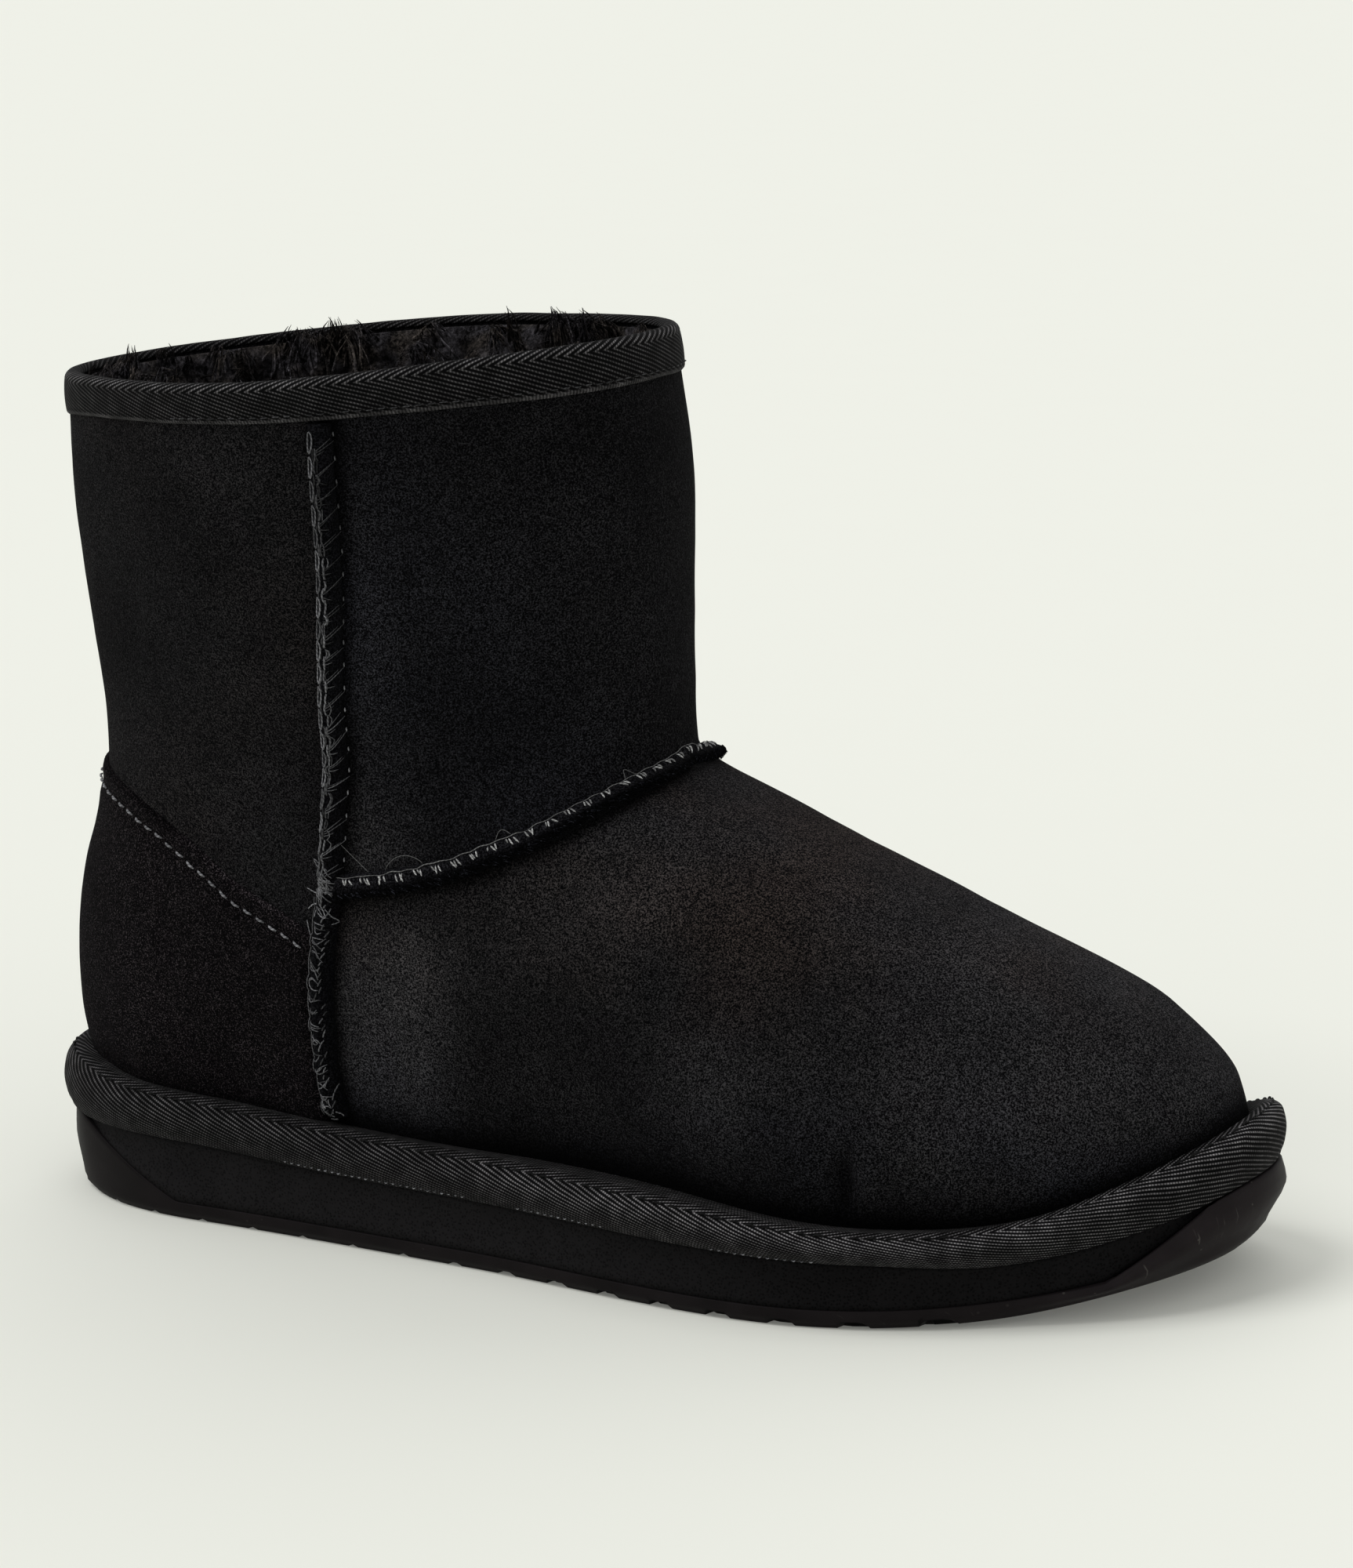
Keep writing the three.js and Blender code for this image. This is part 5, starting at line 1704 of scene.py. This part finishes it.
@dataclass
class CollarBinding:
    """The woven tape folded over the collar."""

    columns: int = 640
    rows_out: int = 22
    lower_level: float = 0.9775
    lip: float = 2.9
    rows_over: int = 14
    finish: HerringboneTape = HerringboneTape("tape_collar", spine=8.6)
    stitches: TapeStitches = TapeStitches(pitch=2.4, share=0.62, radius=0.15, cover=0.55)

    def section(self) -> tuple[Array, Array, Array]:
        """The tape's cross-section: out from the lower edge, up the outer leg, over the rim and back.

        Returns:
            Level, outward distance and lift of each point round the section.
        """
        leg = np.linspace(0, 1, self.rows_out)
        over = np.linspace(0.05, 0.93, self.rows_over) * np.pi
        start = 0.85
        middle, half = (start - self.lip) / 2, (start + self.lip) / 2
        level = np.concatenate([mix(self.lower_level, 1.0, leg), np.ones(self.rows_over + 5),
                                mix(1.0, self.lower_level, np.linspace(0, 1, 8))])
        bulge = 0.30 + 0.40 * smooth(leg / 0.07) + 0.15 * leg + 0.3 * np.sin(np.pi * leg) ** 0.8
        out = np.concatenate([bulge, middle + half * np.cos(over),
                              np.linspace(-self.lip + 0.3, 0.0, 5), np.full(8, 0.02)])
        up = np.concatenate([np.zeros(self.rows_out), 1.7 * np.sin(over), np.full(5, 0.15), np.zeros(8)])
        return level, out, up

    def rings(self, turn: Array) -> Array:
        """The section carried round the collar, with slow waves and puckers at the side seams.

        Args:
            turn: Turns.

        Returns:
            Places, section by columns.
        """
        level, out, up = (part[:, None] for part in self.section())
        turn = turn[None, :]
        back = np.exp(-(np.minimum(turn, 1 - turn) / 0.09) ** 2)
        front = np.exp(-((np.minimum(turn, 1 - turn) - 0.42) / 0.13) ** 2)
        level = 1 - (1 - level) * (1 + 0.42 * back + 0.2 * front)
        rim = LAST.point(np.ones_like(turn), turn)
        wave = 0.22 * layered_noise(rim, 16.0, 61, 2) + 0.10 * lattice_noise(rim, 4.0, 63)
        _, seam_turn = LAST.place(90.8, 170)
        near = np.minimum(np.abs(turn - seam_turn), np.abs(1 - turn - seam_turn))
        pucker = 0.9 * np.exp(-(near / 0.011) ** 2)
        wave = wave - 0.35 * back
        grow = smooth((out + 1.0) / 1.2)
        points = LAST.beyond(level, turn, out + (wave + pucker) * grow)
        points[..., 2] += up + 0.20 * layered_noise(rim, 11.0, 65, 2)
        return points

    def build(self) -> Objects:
        """Makes the tape and its row of stitches."""
        turn = np.arange(self.columns) / self.columns
        points = self.rings(turn)
        u, v = tape_lengths(points, self.rows_out, 0, self.finish.repeat)
        leg = np.arange(len(points))[:, None] / self.rows_out + 0 * turn
        # Painted highlight: the tape is much lighter along the crest of the rim; the lighter hem is its
        # selvage.
        crest_highlight = np.exp(-((leg - 1.1) / 0.12) ** 2)
        hem = smooth((0.115 - leg) / 0.03)
        sheet = Sheetwork()
        # Painted shade: darker along the furrow just above the hem.
        furrow_shade = np.exp(-((leg - 0.165) / 0.03) ** 2)
        sheet.add_hoop(points, u, v, shade=0.78 + 1.7 * crest_highlight + 0.5 * hem - 0.5 * furrow_shade, hem=0.85 * hem)
        piece = sheet.build("collar_binding", self.finish.material(), "herringbone_tape",
                            ("collar_binding",))
        sewn = Sheetwork()
        self.stitches.add_to(sewn, points, int(self.rows_out * 0.2), Dice(91))
        thread = Thread("thread_collar", colour=self.stitches.colour, dark=(0.015, 0.015, 0.016))
        return [piece, sewn.build("collar_stitches", thread.material(), "herringbone_tape")]


@dataclass
class SoleBinding:
    """The tape-covered rand at the feather edge, with stitches near its top and dots along its foot."""

    columns: int = 900
    tuck: float = 0.95
    finish: HerringboneTape = HerringboneTape("tape_rand", slope=0.34, rib=0.92, knot=0.62, spine=12.6)
    foot_stitches: TapeStitches = TapeStitches(pitch=1.7, share=0.45, radius=0.15, cover=0.25)
    top_stitches: TapeStitches = TapeStitches(pitch=3.4, share=0.66, radius=0.27, cover=0.7)
    profile_out: Numbers = (0.8, 2.8, 3.5, 2.9, 0.6, -2.0)
    profile_up: Numbers = (0.0, 2.0, 4.2, 6.4, 8.2, 8.9)
    rows: int = 26

    def rings(self, turn: Array) -> Array:
        """The rand's section carried round the sole: a flattened half-round outside, the upper inside.

        Args:
            turn: Turns.

        Returns:
            Places, section by columns.
        """
        share = np.linspace(0, 1, self.rows)
        knots = np.linspace(0, 1, len(self.profile_out))
        out = curve_through(knots, self.profile_out)(share)[:, None]
        up = curve_through(knots, self.profile_up)(share)[:, None]
        foot = LAST.outline(turn)
        wave = 0.20 * layered_noise(foot, 15.0, 71, 2)
        body = np.sin(np.pi * share)[:, None]
        lip = 0.30 * np.exp(-((share - 0.03) / 0.05) ** 2)[:, None]
        full = out + wave * body + lip
        ends = self.tuck * (1 - smooth(foot[:, 0] / 45) + smooth((foot[:, 0] - 222) / 30))
        plan = np.stack([LAST.outline_offset(turn, row - ends * side) for row, side in zip(full, body[:, 0])])
        x = plan[..., 0]
        height = LAST.seat(x) + LAST.gap + (up + 0.3 * wave * body) * LAST.rand_scale(x)
        outside = np.concatenate([plan, height[..., None]], axis=-1)
        scale = LAST.rand_scale(foot[:, 0])
        inner = [LAST.beyond(level * scale, turn, -0.4) for level in (0.1, 0.066, 0.033, 0.0)]
        return np.concatenate([outside, np.stack(inner)])

    def build(self) -> Objects:
        """Makes the rand, its stitches and the light dots along its foot."""
        turn = np.arange(self.columns) / self.columns
        points = self.rings(turn)
        u, v = tape_lengths(points, self.rows // 2, self.columns // 2, self.finish.repeat)
        rows = np.arange(len(points))[:, None] / self.rows
        # Painted light: the rand is lighter on its upper half, which faces the light, and lighter still from
        # the waist to the toe.
        top = smooth((rows - 0.35) / 0.3) * (1 - smooth((rows - 0.8) / 0.15))
        middle = smooth((points[self.rows // 2, :, 0] - 95) / 50)
        sheet = Sheetwork()
        sheet.add_hoop(points, u, v, shade=1.3 * (0.8 + 0.45 * top) * (1 + (0.35 + 0.55 * top) * middle),
                       hem=0.0)
        piece = sheet.build("sole_binding", self.finish.material(), "herringbone_tape", ("welt",))
        sewn = Sheetwork()
        self.foot_stitches.add_to(sewn, points, 2, Dice(95), 5.0)
        # Painted shade: the top row of stitches is nearly black, standing for the shade in its stitched
        # groove.
        self.top_stitches.add_to(sewn, points, 20, Dice(96), 0.05)
        thread = Thread("thread_rand", colour=(0.06, 0.06, 0.064), dark=(0.018, 0.018, 0.02))
        return [piece, sewn.build("sole_stitches", thread.material(), "herringbone_tape")]


@dataclass
class Midsole:
    """The foam block between the outsole and the rand."""

    columns: int = 600
    inset: float = 0.3
    finish: Foam = Foam("foam_midsole")

    def build(self) -> Objects:
        """Makes the block, inside the outsole's wall below and flush with it above."""
        turn = np.arange(self.columns) / self.columns
        x = LAST.outline(turn)[:, 0]
        shape = OUTSOLE_SHAPE
        wall = shape.wall_top(x)
        step = np.minimum(wall - 0.08, LAST.seat(x) - 0.6)
        inner = -shape.wall - 0.7
        outer = -self.inset - 0.3 * smooth(3 * shape.bumper(x) - 2.0)
        seat = LAST.seat(x)
        rings = []
        rows = [(inner - 0.2, LAST.spring(x) + shape.plate + LAST.gap), (inner, step)]
        for share in (0.0, 0.15, 0.3, 0.45, 0.6, 0.75, 0.9, 1.0):
            dish = -0.25 * np.sin(np.pi * share)
            rows.append((outer + dish, mix(step + 0.1, seat, share)))
        for out, height in rows:
            plan = LAST.outline_offset(turn, out)
            rings.append(np.concatenate([plan, np.broadcast_to(height, x.shape)[:, None]], axis=1))
        sheet = Sheetwork()
        sheet.add_stack(np.stack(rings), np.arange(self.columns + 1))
        place = np.concatenate(sheet.points)
        # Painted shade: the foam darkens towards the toe, where the rand's shadow falls.
        sheet.attributes["shade"] = [mix(1.05, 0.6, smooth((place[:, 0] - 120) / 80))]
        return [sheet.build("midsole", self.finish.material(), "midsole_foam", ("midsole",))]


@dataclass(frozen=True)
class OutsoleShape:
    """Sizes of the rubber outsole: its edge strip, bumpers and grooves."""

    plate: float = 4.2
    strip: float = 3.8
    wall: float = 3.0
    edge_inset: float = 1.5
    heel_inset: float = 0.2
    toe_inset: float = 2.4
    toe_bulge: float = 2.6
    heel_bulge: float = 0.9
    heel_bumper: tuple[float, float] = (10.0, 39.0)
    toe_bumper: tuple[float, float] = (242.0, 258.0)
    pitch: float = 13.2
    first: float = 16.2
    grooves: int = 18
    groove_depth: float = 2.0
    half_mouth: tuple[float, float] = (1.2, 2.8)
    bevel: float = 0.9
    sweep: float = 0.35

    @staticmethod
    def ramp(share: Array) -> Array:
        """A straight climb from 0 to 1 with slightly eased ends."""
        return mix(np.clip(share, 0, 1), smooth(share), 0.12)

    def bumper(self, x: Array) -> Array:
        """How much of the bumper's height the wall has: 1 at the two ends, 0 between them."""
        heel = 1 - self.ramp((x - self.heel_bumper[0]) / (self.heel_bumper[1] - self.heel_bumper[0]))
        toe = self.ramp((x - self.toe_bumper[0]) / (self.toe_bumper[1] - self.toe_bumper[0]))
        return np.maximum(heel, toe)

    def wall_top(self, x: Array) -> Array:
        """Height of the wall's top edge at x."""
        return LAST.spring(x) + mix(self.strip, LAST.sole_thickness(x), self.bumper(x))

    def heel(self, x: Array) -> Array:
        """1 at the heel's end, 0 beyond it."""
        return smooth((0.1 * LAST.length - x) / 20)

    def toe(self, x: Array) -> Array:
        """1 at the toe's end, 0 behind it."""
        return smooth((x - 0.85 * LAST.length) / 30)

    def draw(self, x: Array) -> Array:
        """How far the ground edge is drawn in at the two ends."""
        return self.heel_inset * self.heel(x) + self.toe_inset * self.toe(x)

    def swept(self, x: Array, y: Array) -> Array:
        """The groove coordinate: x moved forward with the distance from the middle."""
        return x + self.sweep * (1 - smooth((x - 212) / 50)) * np.abs(y)

    def mouth(self, middle: Array) -> Array:
        """Half the width of a groove's mouth by its middle: narrow under the heel, wide under the ball."""
        return mix(self.half_mouth[0], self.half_mouth[1], smooth((middle - 100) / 55))

    def notch_share(self, x: Array) -> Array:
        """How much of the grooves' depth shows in the wall: little at the heel, none round the toe."""
        return mix(0.35, 0.78, smooth((x - 100) / 55)) * (1 - smooth((x - 219) / 5))

    def groove(self, swept: Array) -> Array:
        """Depth of the grooves at a groove coordinate: a trapezoid round each groove's middle."""
        index = np.clip(np.round((swept - self.first) / self.pitch), 0, self.grooves - 1)
        middle = self.first + index * self.pitch
        share = np.clip((self.mouth(middle) - np.abs(swept - middle)) / self.bevel, 0, 1)
        return self.groove_depth * share

    def out_at(self, x: Array, rise: Array) -> Array:
        """How far the wall stands out at a height above the ground edge.

        Args:
            x: Places along the sole.
            rise: Heights above the spring line.

        Returns:
            Distance beyond the sole's outline: drawn in below, bulged near the toe's top.
        """
        tall = self.wall_top(x) - LAST.spring(x)
        low = mix(-self.edge_inset - self.draw(x), -0.2 - 0.6 * self.draw(x), np.clip(rise / 1.6, 0, 1))
        bulge = self.toe_bulge * self.toe(x) + self.heel_bulge * self.heel(x)
        high = bulge * np.where(rise > 0.7 * tall, 1 - 0.4 * (rise / tall - 0.7) / 0.3, 1)
        climb = smooth(np.clip((rise - 0.8) / (0.7 * tall - 0.8), 0, 1))
        return mix(low, high, climb)


OUTSOLE_SHAPE = OutsoleShape()


@dataclass
class Outsole:
    """The rubber outsole: a grooved tread, an edge strip and the bumpers at heel and toe."""

    shape: OutsoleShape = OUTSOLE_SHAPE
    finish: Rubber = Rubber("rubber_outsole")
    across: int = 26

    def turns(self) -> Array:
        """Turns of the ring's points: even ones, with extra ones at the corners of the grooves.

        Returns:
            Turns from 0, with the toe's tip in the middle and the two sides mirrored in number.
        """
        shape = self.shape
        even = np.linspace(0, 1, 301)[1:-1] * LAST.length
        middle = shape.first + shape.pitch * np.arange(shape.grooves)
        mouth = shape.mouth(middle)[:, None]
        steps = np.array([0.05, 0.0, -shape.bevel])[None, :]
        corners = np.concatenate([middle[:, None] - mouth - steps, middle[:, None] + mouth + steps]).ravel()
        wanted = np.sort(np.concatenate([even, corners]))
        wanted = wanted[np.concatenate([[True], np.diff(wanted) > 0.04])]
        sides = []
        for low, high in ((0.0, 0.5), (1.0, 0.5)):
            turn = np.linspace(low, high, 6001)
            x = LAST.outline(turn)[:, 0]
            ground = LAST.outline_offset(turn, -shape.edge_inset - shape.draw(x))
            swept = shape.swept(ground[:, 0], ground[:, 1])
            swept = np.maximum.accumulate(swept)
            keep = (wanted > swept[0] + 0.02) & (wanted < swept[-1] - 0.02)
            sides.append(np.interp(wanted[keep], swept, turn))
        count = min(len(sides[0]), len(sides[1]))
        return np.concatenate([[0.0], sides[0][:count], [0.5], sides[1][:count][::-1]])

    def build(self) -> Objects:
        """Makes the outsole: the grooved underside, the wall with its notches, and the tray inside."""
        shape = self.shape
        turn = self.turns()
        x = LAST.outline(turn)[:, 0]
        ground = LAST.outline_offset(turn, -shape.edge_inset - shape.draw(x))
        notch = shape.groove(shape.swept(ground[:, 0], ground[:, 1])) * shape.notch_share(ground[:, 0])
        notch[0] = notch[len(turn) // 2] = 0.0
        rings = []
        for share in (0, 0.06, 0.14, 0.24, 0.36, 0.5, 0.64, 0.78, 0.9, 0.97):
            plan = ground
            for _ in range(2):
                px = plan[:, 0]
                rise = mix(notch, shape.wall_top(px) - LAST.spring(px), share)
                plan = LAST.outline_offset(turn, shape.out_at(x, rise))
            rings.append(np.column_stack([plan, LAST.spring(plan[:, 0]) + rise]))
        top = LAST.outline_offset(turn, 0.6 * (shape.toe_bulge * shape.toe(x)
                                               + shape.heel_bulge * shape.heel(x)) - 0.25)
        rings.append(np.column_stack([top, shape.wall_top(top[:, 0])]))
        lip = LAST.outline_offset(turn, -shape.wall)
        rings.append(np.column_stack([lip, shape.wall_top(lip[:, 0])]))
        tray = LAST.outline_offset(turn, -shape.wall - 0.2)
        rings.append(np.column_stack([tray, LAST.spring(tray[:, 0]) + shape.plate]))
        rings = np.stack(rings)
        half = len(turn) // 2
        near, far = rings[0][1:half], rings[0][:half:-1]
        share = np.linspace(0, 1, self.across)
        share[1:3], share[-3:-1] = (0.02, 0.032), (0.968, 0.98)
        share = share[None, 1:-1]
        y = mix(near[:, 1:2], far[:, 1:2], share)
        side = np.where(y < 0, near[:, 0:1], far[:, 0:1])
        swept = shape.swept(side, np.where(y < 0, near[:, 1:2], far[:, 1:2]))
        inner_x = swept
        for _ in range(4):
            inner_x = swept - (shape.swept(inner_x, y) - inner_x)
        edge = np.minimum(share, 1 - share)
        deep = np.where(edge < 0.025, shape.notch_share(side), smooth((edge - 0.06) / 0.1))
        z = LAST.spring(inner_x) + shape.groove(swept) * deep
        floor = np.stack([inner_x, y, z], axis=-1)
        sheet = Sheetwork()
        sheet.add_stack(rings, lengths(wrap(top, 0)), floor=floor)
        points = np.concatenate(sheet.points)
        # Painted light and shade with real wear: lighter towards the toe, where the light falls, darker at
        # the heel and lighter along the ground edge; the scratches shown where it is high are real wear.
        scuff = (0.25 + 0.75 * smooth((points[:, 0] - 225) / 15) - 0.25 * smooth((40 - points[:, 0]) / 15)
                 + smooth((0.5 + LAST.spring(points[:, 0]) - points[:, 2]) / 0.4) * 0.4)
        # Painted shade: the faces inside the notches are made almost black.
        recess = shape.groove(shape.swept(points[:, 0], points[:, 1])) * shape.notch_share(points[:, 0])
        shaded_notch = (recess > 0.2) & (points[:, 2] - LAST.spring(points[:, 0]) < recess + 0.04)
        sheet.attributes["scuff"] = [np.where(shaded_notch, -0.95, np.clip(scuff, 0, 1))]
        return [sheet.build("outsole", self.finish.material(), "sole_rubber", ("outsole",))]


def direction(azimuth: float, elevation: float) -> Array:
    """The direction at an azimuth, from the outer side towards the toe, and an elevation, in degrees."""
    a, e = np.radians([azimuth, elevation])
    return np.array([np.sin(a) * np.cos(e), -np.cos(a) * np.cos(e), np.sin(e)])


@dataclass
class Studio:
    """The pale floor, the soft light and the camera."""

    azimuth: float = 26.82
    elevation: float = 12.3
    distance: float = 878.4
    target: tuple[float, float, float] = (140.68, 3.51, 91.79)
    roll: float = -2.03
    focal_share: float = 5589.6 / 2000
    floor_colour: Colour = (0.85, 0.858, 0.794)
    floor_glow: float = 0.12
    sky: float = 0.52

    def build(self) -> Objects:
        """Makes the floor, the lights and the camera."""
        return [self.build_floor(), *self.build_lights(), self.build_camera()]

    def build_floor(self) -> Piece:
        """Makes the plain floor, wide enough to fill every view."""
        reach = 40.0
        mesh = bpy.data.meshes.new("floor")
        corners = [(-reach, -reach, 0), (reach, -reach, 0), (reach, reach, 0), (-reach, reach, 0)]
        mesh.from_pydata(corners, [], [(0, 1, 2, 3)])
        mesh.update()
        shader = Shader("floor_paint")
        share = 1 - self.floor_glow
        colour = shader.blend(shader.noise(0.05), tuple(0.996 * share * c for c in self.floor_colour),
                              tuple(1.004 * share * c for c in self.floor_colour))
        mesh.materials.append(shader.finish(base_color=colour, roughness=1.0, specular_ior_level=0.0,
                                            emission_color=self.floor_colour,
                                            emission_strength=self.floor_glow))
        floor = add_object("floor", mesh)
        return floor

    def build_lights(self) -> Objects:
        """Makes an even sky and three wide, far lamps: a key, a fill and a rim light."""
        world = bpy.data.worlds.new("studio")
        world.use_nodes = True
        back = world.node_tree.nodes["Background"]
        back.inputs["Color"].default_value = (0.99, 1.0, 0.985, 1.0)
        back.inputs["Strength"].default_value = self.sky
        bpy.context.scene.world = world
        lamps = []
        for name, azimuth, elevation, strength, spread in (
                ("key", -48.0, 58.0, 1.20, 34.0), ("fill", 62.0, 42.0, 0.30, 70.0),
                ("rim", 205.0, 55.0, 0.45, 50.0)):
            lamp = bpy.data.lights.new(name, "SUN")
            lamp.energy = strength
            lamp.angle = np.radians(spread)
            lamps.append(add_object(name, lamp))
            towards = Vector(direction(azimuth, elevation))
            lamps[-1].rotation_euler = towards.to_track_quat("Z", "Y").to_euler()
            lamps[-1].location = towards * 2
        return lamps

    def build_camera(self) -> Piece:
        """Makes the camera, from its azimuth, elevation, distance, target and roll."""
        back = direction(self.azimuth, self.elevation)
        turn, roll = np.radians([self.azimuth, self.roll])
        right = np.array([np.cos(turn), np.sin(turn), 0.0])
        up = np.cross(back, right)
        tilted_right = np.cos(roll) * right + np.sin(roll) * up
        tilted_up = np.cos(roll) * up - np.sin(roll) * right
        place = (np.array(self.target) + SHIFT + back * self.distance) * MM
        camera = bpy.data.cameras.new("camera")
        camera.sensor_width = 36.0
        camera.lens = 36.0 * self.focal_share
        camera.clip_start = 0.05
        camera.clip_end = 200.0
        camera_object = add_object("camera", camera)
        turned = Matrix(np.column_stack([tilted_right, tilted_up, back]).tolist()).to_4x4()
        camera_object.matrix_world = Matrix.Translation(Vector(place)) @ turned
        bpy.context.scene.camera = camera_object
        return camera_object


def main() -> None:
    """Builds the boot from the sole up, then the studio round it."""
    logging.basicConfig(level=logging.INFO, format="%(message)s")
    bpy.context.scene.view_settings.view_transform = "Standard"
    parts = (Outsole(), Midsole(), SoleBinding(), Footbed(), Upper(), WoolLining(), HeelCounter(),
             SideSeam(Side.OUTER), SideSeam(Side.INNER), VampSeam(), CollarBinding())
    for part in parts:
        pieces = part.build()
        LOG.info("%s: %d pieces", type(part).__name__, len(pieces))
    Studio().build()


if __name__ == "__main__":
    main()
